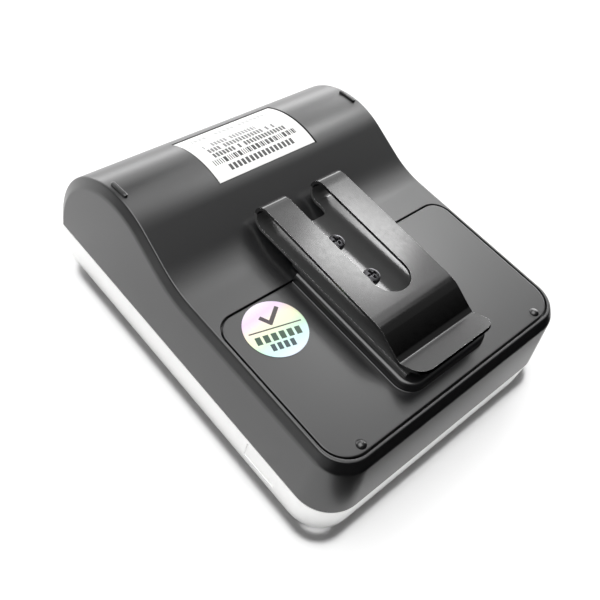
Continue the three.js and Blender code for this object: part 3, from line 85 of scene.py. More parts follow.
# Battery cover, its opening and the bay
COVER_HALF = 36.8
COVER_START = -46.4
COVER_END = -5.9
COVER_SEAM = 0.4
COVER_THICKNESS = 1.6
NEAR_CORNER = 6.6
FAR_CORNER = 4.5
OPENING_HALF = COVER_HALF + COVER_SEAM
OPENING_START = COVER_START - COVER_SEAM
OPENING_CORNER = NEAR_CORNER + COVER_SEAM
OPENING_CUTS = [0, 0.14, 0]
SIDE_STOP = COVER_END - FAR_CORNER
FIELD_END = COVER_END + 1.4
LEDGE = 1.5
LEDGE_THICKNESS = 1.3
LEDGE_TOP = FLAT_Z - COVER_THICKNESS - SEAT
BAY_WALL = 1.2
PAD_HALF = 14.2
PAD_LENGTH = 37.2
PAD_CORNER = 4.5
PAD_TOP = 29.1
PAD_SHOULDER = 1.0
PAD_FILLET = 0.25
TONGUE_HALF = 11.5
TONGUE_LENGTH = 4.2
TONGUE_CORNER = 1.2
NUB_SIDE = 29.9
NUB_INSET = 1.75
NUB_RADIUS = 1.2
NUB_PROUD = 0.7

# Belt clip and its screws
CLIP_HALF = 12.4
CLIP_STEEL = 0.8
CLIP_BASE_Z = 29.55
CLIP_BASE_START = -39.55
LOOP_Y = 7.85
LOOP_RADIUS = 3.075
LOOP_Z = CLIP_BASE_Z + LOOP_RADIUS
ARM_LENGTH = 36.7
ARM_FALL = 1.1
BEND_LENGTH = 7.9
BEND_FALL = 3.95
BEND_SHARE = 0.16
BEND_DROP = 0.11
LIP_LENGTH = 6.2
LIP_RISE = 3.0
LIP_POINTS = 20
LIP_CORNER = 3.0
SLOT_HALF = 5.2
SLOT_LENGTH = 33.0
BASE_SLOT = 4.0
BASE_SLOT_CORNER = 2.0
STRIP_CUTS = [0, 0.9, 0.9, 0.5, 0.5, 0]
LOOP_MIDDLE = 20
EDGE_ROLL = 0.22
ARM_FROM = 0.53
SCREW_PLACES = (COVER_END + 1.55, COVER_END - 10.45)
SCREW_SEAT = CLIP_BASE_Z + CLIP_STEEL / 2 + SEAT

# Screws: shares by which the head's crown and edge fall, the cross with its flare, and the shank's steps
HEAD_RADIUS = 2.1
HEAD_HEIGHT = 1.1
CROWN_FALL = 0.55
EDGE_FROM = 0.86
EDGE_FALL = 0.92
CROSS_ARM = 1.28
CROSS_HALF = 0.3
CROSS_DEPTH = 0.75
CROSS_SLOPE = 0.22
CROSS_TAPER = (1.25, 0.55)
CROSS_MIDDLE = (0.12, 0.3)
FLARE_FROM = 0.6
FLARE = 0.06
SHANK = [(1.1, 0), (1.1, 2.2), (0.7, 2.8)]

# Label and sticker
LABEL_HALF = 15.2
LABEL_SHIFT = 0.9
LABEL_FROM = math.radians(90 - 32.2)
LABEL_TO = math.radians(90 + 16.4)
LABEL_RECESS = 0.35
LABEL_MARGIN = 0.35
LABEL_THICKNESS = 0.15
RECESS_FROM = LABEL_FROM - LABEL_MARGIN / BULGE_RADIUS
RECESS_TO = LABEL_TO + LABEL_MARGIN / BULGE_RADIUS
RECESS_STEPS = np.array([-0.3, -0.12, -0.03, 0.03, 0.1, 0.3])
RECESS_SOFT = 0.06
STICKER_X = -26.1
STICKER_Y = -13.8
STICKER_RADIUS = 7.35
STICKER_TOP = FLAT_Z + SEAT + 0.12
STICKER_FILM = 0.08
STICKER_DROOP = 0.04

# Ribs on the bulge
RIB_SIDE = 35.9
RIB_WIDTH = 1.1
RIB_LENGTH = 5.7
RIB_PROUD = 0.6
RIB_ANGLE = math.radians(90 - 6.5)
RIB_RINGS = [(0, RIB_PROUD + 0.6), (0, 0.28), (0.03, 0.16), (0.1, 0.06), (0.2, 0.01), (0.32, 0)]

# Release key, of which the photograph shows only the line along its upper edge
KEY_GROW = 0.3
KEY_DEPTH = 2.0
KEY_SLOT = 0.05
KEY_SLANT = 0.4
KEY_FACE = 0.06
KEY_UPPER = 0.2
KEY_SINK = 0.02

# Inside
BAY_FLOOR = 16.85
ROLL_GUIDE = 30.2
GUIDE_FOOT = 9.8

# The set's floor lies this far below the front face, so a dark line shows under the rim
FLOOR_DROP = 0.6

# Black cloth round the foot, unseen by the camera, that deepens the shadow along the rim
FOOT_CORNER = 6.0
FOOT_HEIGHT = 0.8
FOOT_INSIDE = 0.8
FOOT_REACH = 1.4
FOOT_END = 44.2

# Camera of the photograph
CAMERA_PLACE = Vector((-0.10776, -0.07222, 0.15849))
CAMERA_AZIMUTH = math.radians(-56.13)
CAMERA_ELEVATION = math.radians(50.11)
CAMERA_ROLL = math.radians(18.55)
CAMERA_LENS = 46.384


def linear(code):
    """A colour written as an sRGB hex code, as the linear values that a shader takes."""
    channels = [int(code[i:i + 2], 16) / 255 for i in (1, 3, 5)]
    return [c / 12.92 if c <= 0.04045 else ((c + 0.055) / 1.055) ** 2.4 for c in channels] + [1.0]


# ---- meshes -------------------------------------------------------------------------------------------


def grid_faces(rows, columns, start, closed=False):
    """Quads between neighbouring points of a grid whose point (i, j) has number start + i * columns + j.

    In a closed grid the last column joins the first.
    """
    i, j = np.meshgrid(np.arange(rows - 1), np.arange(columns if closed else columns - 1), indexing="ij")
    here, below, along = i * columns, (i + 1) * columns, (j + 1) % columns
    quads = np.stack([here + j, here + along, below + along, below + j], -1)
    return (quads.reshape(-1, 4) + start).tolist()


class Skin:
    """Collects grids and polygons, in millimetres, that weld into one mesh."""

    def __init__(self):
        self.points = []
        self.faces = []
        self.count = 0

    def add(self, points, faces):
        self.points.append(np.asarray(points, float).reshape(-1, 3))
        self.faces += faces
        self.count += len(self.points[-1])

    def grid(self, points, flip=False, closed=False):
        """A surface through points[row, column]; flip turns its faces over."""
        faces = grid_faces(*points.shape[:2], self.count, closed)
        self.add(points, [face[::-1] for face in faces] if flip else faces)

    def cap(self, ring, flip=False):
        """One flat face across a ring of points."""
        face = list(range(self.count, self.count + len(ring)))
        self.add(ring, [face[::-1] if flip else face])

    def mesh(self, name):
        """All that was added as one mesh, in metres and shaded smooth."""
        mesh = bpy.data.meshes.new(name)
        mesh.from_pydata((np.concatenate(self.points) * MM).tolist(), [], self.faces, shade_flat=False)
        return mesh


def link(name, data):
    """A new object round a mesh, a light or a camera, placed in the scene."""
    thing = bpy.data.objects.new(name, data)
    bpy.context.scene.collection.objects.link(thing)
    return thing


def mesh_piece(name, skin, material, weld=0.004, sharp=38.0):
    """The skin's points welded where they meet, shaded smooth except at edges sharper than an angle.

    Faces without area go, and normals point outwards.
    """
    mesh = skin.mesh(name)
    work = bmesh.new()
    work.from_mesh(mesh)
    bmesh.ops.remove_doubles(work, verts=work.verts, dist=weld * MM)
    bmesh.ops.dissolve_degenerate(work, dist=weld * MM / 4, edges=work.edges)
    bmesh.ops.recalc_face_normals(work, faces=work.faces)
    work.to_mesh(mesh)
    work.free()
    finish_shading(mesh, sharp)
    mesh.materials.append(material)
    return link(name, mesh)


def finish_shading(mesh, sharp):
    mesh.shade_smooth()
    mesh.set_sharp_from_angle(angle=math.radians(sharp))
    mesh.update()


def rows_of(collection, attribute):
    """A three-part value of a mesh's points or corners, as the rows of an array."""
    values = np.empty(len(collection) * 3)
    collection.foreach_get(attribute, values)
    return values.reshape(-1, 3)


def soften(piece, name, width, sharp, segments):
    """A live bevel of every edge sharper than an angle in degrees, with the flats' shading kept."""
    edges = piece.modifiers.new(name, "BEVEL")
    edges.width = width * MM
    edges.segments = segments
    edges.limit_method = "ANGLE"
    edges.angle_limit = math.radians(sharp)
    edges.harden_normals = True
    return edges


def spread(*parts):
    """Numbers and arrays, brought to one shape, as the two or three parts of each point."""
    return np.stack(np.broadcast_arrays(*parts), -1)


def on_circle(x, y, radius, angle):
    """Points of a circle at angles in radians, counted from its first axis towards its second."""
    return spread(x + radius * np.cos(angle), y + radius * np.sin(angle))


def arc(centre, radius, start, end, step=2.0):
    """Points on a circle between two angles in radians, about step degrees apart."""
    count = max(int(round(abs(math.degrees(end - start)) / step)), 2) + 1
    angle = np.linspace(start, end, count)
    return on_circle(*centre, radius, angle)


def rounded_plan(half, y0, y1, r0, r1, count=13):
    """A rectangle with its own corner radius at each end, as a closed ring with equal counts on the arcs."""
    quarter = np.pi / 2
    r0, r1 = max(r0, 0.02), max(r1, 0.02)
    corners = [(r0 - half, y0 + r0, r0, 2), (half - r0, y0 + r0, r0, 3), (half - r1, y1 - r1, r1, 0),
               (r1 - half, y1 - r1, r1, 1)]
    return np.concatenate([on_circle(x, y, radius, np.linspace(turn * quarter, (turn + 1) * quarter, count))
                           for x, y, radius, turn in corners])


def at_height(ring, z):
    return spread(*ring.T, z)


def at_side(line, x):
    return spread(x, *line.T)


def mirrored(half):
    """A line through the right half of a plan, carried on by its mirror image on the left."""
    return np.concatenate([half, (half * [-1, 1])[::-1]])


def plan_stack(skin, levels):
    """A closed body through plan rings at rising heights, with a flat cap at each end."""
    rings = np.array([at_height(ring, z) for ring, z in levels])
    skin.grid(rings, closed=True)
    skin.cap(rings[0], flip=True)
    skin.cap(rings[-1])


def parabola(start, corner, end, steps):
    """Points (1-s)^2 A + 2s(1-s) B + s^2 C from the start A to the end C, drawn towards the corner B."""
    return [(1 - s) ** 2 * start + 2 * s * (1 - s) * corner + s ** 2 * end
            for s in np.linspace(0, 1, steps + 1)]


def eased(rails, cuts, steps=4, support=0.12):
    """Rounds the path that runs across a list of rails.

    At each inner rail with a cut above zero, the corner becomes a parabola that starts and ends one cut away
    from it on the straight lines. One more point on each line, a little further out, holds the shading of
    the flats.
    """
    out = [rails[0]]
    for before, corner, after, cut in zip(rails, rails[1:], rails[2:], cuts[1:]):
        if cut <= 0:
            out.append(corner)
            continue
        ends = []
        for way in (before - corner, after - corner):
            length = np.linalg.norm(way, axis=-1, keepdims=True)
            unit = way / np.maximum(length, 1e-6)
            ends += [corner + unit * np.minimum(cut, length * 0.49),
                     corner + unit * np.minimum(cut + support, length * 0.495)]
        p, beyond_p, q, beyond_q = ends
        out += [beyond_p, *parabola(p, corner, q, steps), beyond_q]
    out.append(rails[-1])
    return np.stack(out, axis=1)


def merged_copy(node, bevel, sharp=32.0):
    """A welded copy of a CAD node with softened edges, which stands for the node."""
    mesh = NODES[node].data.copy()
    work = bmesh.new()
    work.from_mesh(mesh)
    bmesh.ops.remove_doubles(work, verts=work.verts, dist=0.002 * MM)
    bmesh.ops.dissolve_limit(work, angle_limit=math.radians(0.5), verts=work.verts, edges=work.edges)
    work.to_mesh(mesh)
    work.free()
    finish_shading(mesh, sharp)
    piece = link(f"{node}_look", mesh)
    soften(piece, "soft_edges", bevel, sharp, 2)
    settle(piece, node)


def settle(piece, node):
    """The piece rides with the node's body and stands for the node."""
    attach(piece, BODY_OF[node])
    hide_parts(node)


# ---- materials ----------------------------------------------------------------------------------------

# Patches in which a moulded or metal surface is a shade lighter or darker
CLOUD_MM = 9


def new_material(name):
    material = bpy.data.materials.new(name)
    material.use_nodes = True
    return material, material.node_tree, material.node_tree.nodes["Principled BSDF"]


def feed(node, inputs):
    """Gives each named socket of a node a value or another node's output."""
    for key, value in inputs.items():
        if isinstance(value, bpy.types.NodeSocket):
            node.id_data.links.new(value, node.inputs[key])
        else:
            node.inputs[key].default_value = value


def add(tree, kind, inputs=None, **settings):
    """Adds a node with its settings and feeds its sockets."""
    made = tree.nodes.new(kind)
    for key, value in settings.items():
        setattr(made, key, value)
    feed(made, inputs or {})
    return made


def maths(tree, operation, *values):
    """A Math node's result on values or on other nodes' outputs."""
    return add(tree, "ShaderNodeMath", dict(enumerate(values)), operation=operation).outputs[0]


def mixed(tree, share, under, over):
    """A colour between two, by a share from 0 to 1."""
    return add(tree, "ShaderNodeMix", {"Factor": share, 6: under, 7: over}, data_type="RGBA").outputs[2]


def moulded(name, colour, shade, roughness, grain_mm, relief_mm, metallic=0.0, more=None):
    """A surface with a fine grain: colour wanders between two shades, gloss and relief follow the grain.

    One roughness instead of two keeps the gloss even and leaves the relief out, because a grain finer than a
    pixel shows as stray dots.
    """
    material, tree, surface = new_material(name)
    place = add(tree, "ShaderNodeTexCoord").outputs["Object"]
    cloud = add(tree, "ShaderNodeTexNoise", {"Vector": place, "Scale": 1 / (CLOUD_MM * MM), "Detail": 3.0})
    grain = add(tree, "ShaderNodeTexNoise", {"Vector": place, "Scale": 1 / (grain_mm * MM), "Detail": 2.0,
                                            "Roughness": 0.6}).outputs["Fac"]
    blend = maths(tree, "MULTIPLY", cloud.outputs["Fac"], grain)
    low, high = roughness[0], roughness[-1]
    feed(surface, {"Base Color": mixed(tree, blend, linear(colour), linear(shade)), "Roughness": low,
                   "Metallic": metallic, "IOR": 1.5, **(more or {})})
    if high > low:
        gloss = add(tree, "ShaderNodeMapRange", {"Value": grain, "From Min": 0.3, "From Max": 0.7,
                                                 "To Min": low, "To Max": high})
        relief = add(tree, "ShaderNodeBump", {"Height": grain, "Strength": 0.5, "Distance": relief_mm * MM})
        feed(surface, {"Roughness": gloss.outputs[0], "Normal": relief.outputs[0]})
    return material


def printed(tree, place, under, ink, centre, turn, size, cell=None, share=1.0, blank=0.0, seed=0):
    """Ink over a colour inside a turned bar, or in blocks along it, of which a share is left bare by chance.

    Centre, size and cell are millimetres on the sheet's own map, and the turn is in degrees.
    """
    local = add(tree, "ShaderNodeMapping", {"Vector": place, "Location": (*centre, 0),
                                            "Rotation": (0, 0, math.radians(turn))}, vector_type="TEXTURE")
    along, across, _ = add(tree, "ShaderNodeSeparateXYZ", {0: local.outputs[0]}).outputs
    mask = maths(tree, "COMPARE", across, 0.0, size[1] / 2)
    limits = [(along, 0.0, size[0] / 2)]
    if cell:
        step = maths(tree, "DIVIDE", along, cell)
        chance = maths(tree, "ADD", maths(tree, "FLOOR", step), seed)
        chance = add(tree, "ShaderNodeTexWhiteNoise", {"W": chance}, noise_dimensions="1D").outputs["Value"]
        limits += [(maths(tree, "FRACT", step), 0.5, share / 2 + 1e-4),
                   (chance, (1 + blank) / 2, (1 - blank) / 2)]
    for value, middle, reach in limits:
        mask = maths(tree, "MULTIPLY", mask, maths(tree, "COMPARE", value, middle, reach))
    return mixed(tree, mask, under, linear(ink))


def sheet_material(name, roughness):
    """A printed sheet's shader, the place on its own map in millimetres and a fine unevenness."""
    material, tree, surface = new_material(name)
    place = add(tree, "ShaderNodeUVMap", uv_map="sheet_mm").outputs[0]
    grain = add(tree, "ShaderNodeTexNoise", {"Vector": place, "Scale": 2.5, "Detail": 2.0}).outputs["Fac"]
    gloss = add(tree, "ShaderNodeMapRange", {"Value": grain, "To Min": roughness - 0.05,
                                             "To Max": roughness + 0.05})
    feed(surface, {"Roughness": gloss.outputs[0]})
    return material, tree, surface, place, grain


# White vinyl takes a matt, slightly uneven print; blocks and bars of chance width stand for its words
LABEL_PRINT = [
    ("#a9a9a9", (15.0, 15.7), (24.0, 1.4), 1.25, 0.7, 0.1, 3),
    ("#8f8f8f", (15.2, 13.6), (30.0, 0.2), None, 1.0, 0.0, 0),
    ("#868686", (11.6, 11.6), (16.2, 1.5), 0.95, 0.68, 0.08, 5),
    ("#686868", (13.9, 9.6), (20.8, 1.5), 0.95, 0.68, 0.08, 11),
    ("#4a4a4a", (14.9, 7.6), (22.5, 1.5), 0.95, 0.68, 0.08, 23),
    ("#1c1c1c", (15.0, 5.4), (25.7, 1.7), 0.62, 0.4, 0.0, 42),
    ("#1c1c1c", (15.0, 5.4), (25.7, 1.7), 1.43, 0.38, 0.2, 7),
    ("#333333", (15.0, 2.8), (20.9, 1.8), 1.28, 0.66, 0.04, 61),
]


def label_material():
    material, tree, surface, place, grain = sheet_material("white_vinyl_label", 0.4)
    colour = mixed(tree, grain, linear("#e3e3e2"), linear("#dddddb"))
    for ink, centre, size, *blocks in LABEL_PRINT:
        colour = printed(tree, place, colour, ink, centre, 0, size, *blocks)
    feed(surface, {"Base Color": colour})
    return material


# Iridescent film shows pastel bands that run from lilac through cream and green to cyan
STICKER_TURN = -14.2
STICKER_BANDS = [(0.0, "#d3dcea"), (0.16, "#c2e4e8"), (0.36, "#c4eac8"), (0.52, "#e0e8c2"), (0.68, "#ead8ca"),
                 (0.84, "#dcc2e4"), (1.0, "#e2d8e8")]
STICKER_PRINT = [
    ("#2e1a28", (-1.2, 2.5), -48.6, (3.1, 1.0), None, 1.0),
    ("#2e2022", (1.05, 3.3), 48.7, (5.2, 1.0), None, 1.0),
    ("#2c2c1e", (0.0, 0.25), 0, (12.7, 0.34), None, 1.0),
    ("#0d3a20", (-0.18, -1.9), 0, (11.4, 2.0), 1.9, 0.68),
    ("#0c3238", (-0.2, -4.35), 0, (6.2, 1.8), 1.55, 0.68),
]


def sticker_material():
    material, tree, surface, place, grain = sheet_material("iridescent_film", 0.3)
    turn = math.radians(STICKER_TURN)
    local = add(tree, "ShaderNodeMapping", {"Vector": place, "Rotation": (0, 0, -turn)}, vector_type="POINT")
    along, across, _ = add(tree, "ShaderNodeSeparateXYZ", {0: local.outputs[0]}).outputs
    wander = maths(tree, "MULTIPLY_ADD", grain, 1.6, maths(tree, "MULTIPLY_ADD", along, -0.35, across))
    share = add(tree, "ShaderNodeMapRange", {"Value": wander, "From Min": -6.6, "From Max": 8.2})
    bands = add(tree, "ShaderNodeValToRGB", {0: share.outputs[0]})
    ramp = bands.color_ramp
    for position, _ in STICKER_BANDS[1:-1]:
        ramp.elements.new(position)
    for element, (position, code) in zip(ramp.elements, STICKER_BANDS):
        element.position = position
        element.color = linear(code)
    colour = bands.outputs["Color"]
    for ink, (s, t), lean, size, cell, block in STICKER_PRINT:
        centre = (s * math.cos(turn) - t * math.sin(turn), s * math.sin(turn) + t * math.cos(turn))
        colour = printed(tree, place, colour, ink, centre, STICKER_TURN + lean, size, cell, block)
    feed(surface, {"Base Color": colour, "Coat Weight": 0.4})
    return material


# Spark-eroded mould texture breaks the gloss of black ABS into a soft even sheen
black_abs = moulded("black_abs_spark_eroded", "#0e0e0f", "#131314", (0.29,), 0.4, 0.0,
                    more={"Specular IOR Level": 0.95})
# Bright steel plated black keeps sharp reflections on a dark ground
clip_steel = moulded("black_nickel_spring_steel", "#4d4d4d", "#494949", (0.14, 0.17), 1.4, 0.0003, 1.0)
# The same plating on the base, painted a lighter grey and made less metallic, so it stays light in the arm's
# shade: painted light
lightened_base_steel = moulded("black_nickel_painted_lighter", "#666666", "#606060", (0.18, 0.2), 1.4, 0.0003, 0.6)
# The cut edges take a brighter steel: partly plating worn thin, partly a painted highlight that shows as fine
# bright lines
edge_steel = moulded("worn_plating_and_painted_highlight_edge", "#d2d2d2", "#bcbcbc", (0.16, 0.24), 1.4, 0.0006, 1.0)
# Hot oxide leaves a dull black skin, through which the screw heads still glint
screw_steel = moulded("black_oxide_steel", "#58585a", "#4c4c4e", (0.22, 0.28), 0.4, 0.002, 0.9)

SLOT_MATERIALS = {
    "black_abs": black_abs,
    "clip_steel": clip_steel,
    "black_screw_steel": screw_steel,
    "label_vinyl": label_material(),
    "sticker_film": sticker_material(),
    # A polished mould leaves white ABS smooth, with only a slight unevenness
    "white_abs": moulded("white_abs_polished", "#f9f9f8", "#f4f4f3", (0.3, 0.42), 0.6, 0.004),
    # Grinding leaves shafts bright with a soft, fine-grained gloss
    "bright_steel": moulded("ground_nickel_steel", "#c3c5c8", "#a9abae", (0.22, 0.34), 0.3, 0.003, 1.0),
    # A deep-drawn can is greyer and blurs what it mirrors
    "motor_steel": moulded("drawn_steel_can", "#a6a9ad", "#94979b", (0.26, 0.4), 0.5, 0.003, 1.0),
    # Bead blasting turns aluminium pale and matt
    "head_aluminium": moulded("bead_blasted_aluminium", "#c9ccd0", "#b5b8bc", (0.36, 0.5), 0.25, 0.006, 1.0),
    # Thin gold over bronze gives the contacts a warm shine
    "gold_contact": moulded("gold_flashed_bronze", "#d8ae55", "#c59a45", (0.22, 0.34), 0.4, 0.003, 1.0),
    # Ground rubber is dark and takes no highlight
    "roller_rubber": moulded("ground_nitrile_rubber", "#1d1e20", "#292a2c", (0.62, 0.8), 0.3, 0.012),
    # Unpigmented acetal is a waxy cream white
    "gear_acetal": moulded("natural_acetal", "#e8e3d2", "#dcd6c2", (0.36, 0.5), 0.5, 0.005),
    # Glass fibres at the surface leave nylon grey and rough
    "chassis_plastic": moulded("glass_filled_nylon", "#37393c", "#434548", (0.46, 0.62), 0.4, 0.010),
    # Solder mask lies as a glossy green coat over the laminate
    "board_laminate": moulded("green_solder_mask", "#14562f", "#1d6b3c", (0.3, 0.42), 0.8, 0.006),
    # Moulding compound is near black and satin
    "chip_black": moulded("moulding_compound", "#17181a", "#202124", (0.45, 0.6), 0.3, 0.006),
    # Shrunk film follows the cells with a slightly wavy gloss
    "pack_wrap": moulded("blue_shrink_wrap", "#2556a0", "#285aa6", (0.2, 0.34), 1.5, 0.012),
    # Polycarbonate windows and light pipes are clear, a little cool and nearly without haze
    "clear_plastic": moulded("clear_polycarbonate", "#dfe8ee", "#d3dde4", (0.06, 0.12), 1.0, 0.001,
                             more={"Transmission Weight": 0.8}),
}


# ---- back case ----------------------------------------------------------------------------------------


def wall_out(z):
    """How far the side wall stands outside its place at the shoulder, at a height, from its draft."""
    return SIDE_DRAFT / (SHOULDER_Z - SEAM_TOP) * (SHOULDER_Z - z)


RIM_HALF = HALF_WIDTH - SIDE_DRAFT - CHAMFER_WIDTH + wall_out(FLAT_Z)


def top_outline(inside=0.0):
    """Side outline in (y, z) from the rear seam over the bulge and through the valley to the flat part.

    The bulge is an arc that ends on a straight slope, and the valley an arc that ends level. A line drawn
    some way inside keeps the same centres, so its bulge is smaller and its valley larger.
    """
    crest, valley = BULGE_RADIUS - inside, VALLEY_RADIUS + inside
    touch_y = BULGE_Y - BULGE_RADIUS * math.sin(SLOPE)
    touch_z = BULGE_Z + BULGE_RADIUS * math.cos(SLOPE)
    drop = touch_z - FLAT_Z - VALLEY_RADIUS * (1 - math.cos(SLOPE))
    valley_y = touch_y - VALLEY_RADIUS * math.sin(SLOPE) - drop / math.tan(SLOPE)
    stops = [0.0, RECESS_FROM, RECESS_TO, math.pi / 2 + SLOPE]
    bulge = [arc((BULGE_Y, BULGE_Z), crest, a, b)[:-1] for a, b in zip(stops, stops[1:])]
    last = arc((BULGE_Y, BULGE_Z), crest, stops[-1], stops[-1] + 0.01)[:1]
    low = [(HALF_LENGTH - inside, SEAM_TOP), (HALF_LENGTH - inside, (SEAM_TOP + BULGE_Z) / 2)]
    hollow = arc((valley_y, FLAT_Z + VALLEY_RADIUS), valley, SLOPE - math.pi / 2, -math.pi / 2)
    flat = [(valley_y - 2.5, FLAT_Z - inside), (FIELD_END, FLAT_Z - inside)]
    return np.concatenate([low, *bulge, last, hollow, flat])


def side_rails(outline, inner, sign):
    """Rails of one side along an outline: seam foot, shoulder, rim and a line just inside the rim."""
    y, z = outline.T
    inner_y, inner_z = inner.T
    rim_x = HALF_WIDTH - SIDE_DRAFT - CHAMFER_WIDTH + wall_out(z)
    shoulder_x = HALF_WIDTH - SIDE_DRAFT + wall_out(inner_z)
    return [spread(sign * HALF_WIDTH, inner_y, SEAM_TOP), spread(sign * shoulder_x, inner_y, inner_z),
            spread(sign * rim_x, y, z), spread(sign * (rim_x - RIM_LINE), y, z)]


def end_path(half, start, corner, z):
    """One plan rail round the flat end, from a stop on the right side to the same stop on the left."""
    right = arc((half - corner, start + corner), corner, 0, -math.pi / 2, 5.0)
    side_y = SIDE_STOP + (right[0, 1] - SIDE_STOP) * SIDE_SHARES
    return at_height(mirrored(np.concatenate([spread(half, side_y[:-1]), right])), z)


def back_case_skin():
    """Outer shell as rails round the case, a ruled top, the cover opening, inner walls and the seam face."""
    skin = Skin()
    outline, lower = top_outline(), top_outline(CHAMFER_DEPTH)

    # Sides of the bulge and the valley, from the seam foot up to just inside the rim
    rear_edges = {}
    for sign in (1, -1):
        rails = side_rails(np.vstack([outline, [SIDE_STOP, FLAT_Z]]),
                           np.vstack([lower, [SIDE_STOP, SHOULDER_Z]]), sign)
        sheet = eased(rails, EDGE_CUTS)
        skin.grid(sheet, flip=sign < 0)
        rear_edges[sign] = sheet[0]

    # Round the flat end, then over the rim and down the opening to the ledge
    rim_start = END_DRAFT + CHAMFER_WIDTH - HALF_LENGTH
    rim_corner = SEAM_CORNER - SIDE_DRAFT - CHAMFER_WIDTH
    seam_foot = end_path(HALF_WIDTH, -HALF_LENGTH, SEAM_CORNER, SEAM_TOP)
    rim_line = end_path(RIM_HALF - RIM_LINE, rim_start + RIM_LINE, rim_corner - RIM_LINE, FLAT_Z)
    skin.grid(eased([
        seam_foot,
        end_path(HALF_WIDTH - SIDE_DRAFT, END_DRAFT - HALF_LENGTH, SEAM_CORNER - SIDE_DRAFT, SHOULDER_Z),
        end_path(RIM_HALF, rim_start, rim_corner, FLAT_Z),
        rim_line,
    ], EDGE_CUTS))
    opening_rim, opening_foot = (end_path(OPENING_HALF, OPENING_START, OPENING_CORNER, z)
                                 for z in (FLAT_Z, LEDGE_TOP))
    skin.grid(eased([rim_line, opening_rim, opening_foot], OPENING_CUTS, 3))

    # Flat field beyond the cover, between the rim line and the opening's far edge
    far_half = OPENING_HALF - FAR_CORNER - COVER_SEAM
    far_arc = arc((far_half, SIDE_STOP), FAR_CORNER + COVER_SEAM, 0, math.pi / 2, 6.0)
    far_edge = mirrored(far_arc)
    count = len(far_arc)
    field_y = np.linspace(SIDE_STOP, FIELD_END, count // 2)
    field_x = np.linspace(RIM_HALF - RIM_LINE, far_half, count - count // 2 + 1)[1:]
    outer_side, inner_side = (np.concatenate([spread(half, field_y), spread(field_x, FIELD_END)])
                              for half in (RIM_HALF - RIM_LINE, INNER_HALF))
    far_rim, far_foot = at_height(far_edge, FLAT_Z), at_height(far_edge, LEDGE_TOP)
    skin.grid(eased([at_height(mirrored(outer_side), FLAT_Z), far_rim, far_foot], OPENING_CUTS, 3))

    # Ruled top with the label's recess pressed into it, by columns that crowd at the recess's edges
    label = [LABEL_SHIFT - LABEL_HALF - LABEL_MARGIN, LABEL_SHIFT + LABEL_HALF + LABEL_MARGIN]
    columns = np.concatenate([-field_x, field_x, TOP_COLUMNS, label[0] + RECESS_STEPS,
                              np.linspace(*label, 8)[1:-1], label[1] - RECESS_STEPS])
    columns = np.unique(np.round(columns, 5))
    columns = columns[np.abs(columns) < RIM_HALF - RIM_LINE - 0.01]
    rows = []
    for row_y, row_z, angle in label_rows(outline):
        edge_x = RIM_HALF - RIM_LINE + wall_out(row_z) - wall_out(FLAT_Z)
        x = np.concatenate([[-edge_x], columns, [edge_x]])
        across = np.clip(np.minimum(x - label[0], label[1] - x) / RECESS_SOFT + 0.5, 0, 1)
        along = np.clip(min(angle - RECESS_FROM, RECESS_TO - angle) * BULGE_RADIUS / RECESS_SOFT + 0.5, 0, 1)
        depth = LABEL_RECESS * across * along * (row_z > BULGE_Z)
        rows.append(spread(x, row_y - depth * math.cos(angle), row_z - depth * math.sin(angle)))
    skin.grid(np.array(rows))

    # Inner walls and the seam face along the sides, with a corner where each meets the rear wall
    roof = top_outline(FLAT_Z - LEDGE_TOP)
    ys = np.append(lower[:, 0], SIDE_STOP)
    for sign in (1, -1):
        inner_top = at_side(np.vstack([roof, [SIDE_STOP, LEDGE_TOP]]), sign * INNER_HALF)
        skin.grid(np.stack([spread(sign * HALF_WIDTH, ys, SEAM_TOP), spread(sign * INNER_HALF, ys, SEAM_TOP),
                            inner_top], 1))
        corner = [[sign * INNER_HALF, roof[0, 0], SEAM_TOP], [sign * INNER_HALF, lower[0, 0], SEAM_TOP]]
        skin.cap(np.vstack([rear_edges[sign], corner]))

    # Rear wall's seam face, the roof inside, which ends at the cover's opening, and the flat end's inner wall
    inner_x = np.concatenate([[-INNER_HALF], columns, [INNER_HALF]])
    inner_rows = np.array([spread(inner_x, y, z) for y, z in roof])
    skin.grid(np.stack([rows[0], inner_rows[0]]))
    skin.grid(inner_rows)
    skin.grid(np.stack([at_height(mirrored(inner_side), LEDGE_TOP), far_foot], 1))
    wall_foot, wall_top = (end_path(INNER_HALF, END_DRAFT + WALL - HALF_LENGTH, SEAM_CORNER - SIDE_WALL, z)
                           for z in (SEAM_TOP, LEDGE_TOP))
    skin.grid(np.stack([seam_foot, wall_foot, wall_top, opening_foot], 1), flip=True)
    return skin


def label_rows(outline):
    """Rows (y, z, angle) of the top, with extra rows close to the two curved ends of the label's recess.

    The angle round the bulge's centre grows all along the outline, so it puts the rows in order.
    """
    rows = [(y, z, math.atan2(z - BULGE_Z, y - BULGE_Y)) for y, z in outline]
    for edge, sign in ((RECESS_FROM, 1), (RECESS_TO, -1)):
        for angle in edge + sign * RECESS_STEPS / BULGE_RADIUS:
            rows.append((*on_circle(BULGE_Y, BULGE_Z, BULGE_RADIUS, angle), angle))
    return sorted(rows, key=lambda row: row[2])


def cover_plan(inside):
    """The battery cover's outline, or one drawn some way inside it."""
    return rounded_plan(COVER_HALF - inside, COVER_START + inside, COVER_END - inside, NEAR_CORNER - inside,
                        FAR_CORNER - inside)


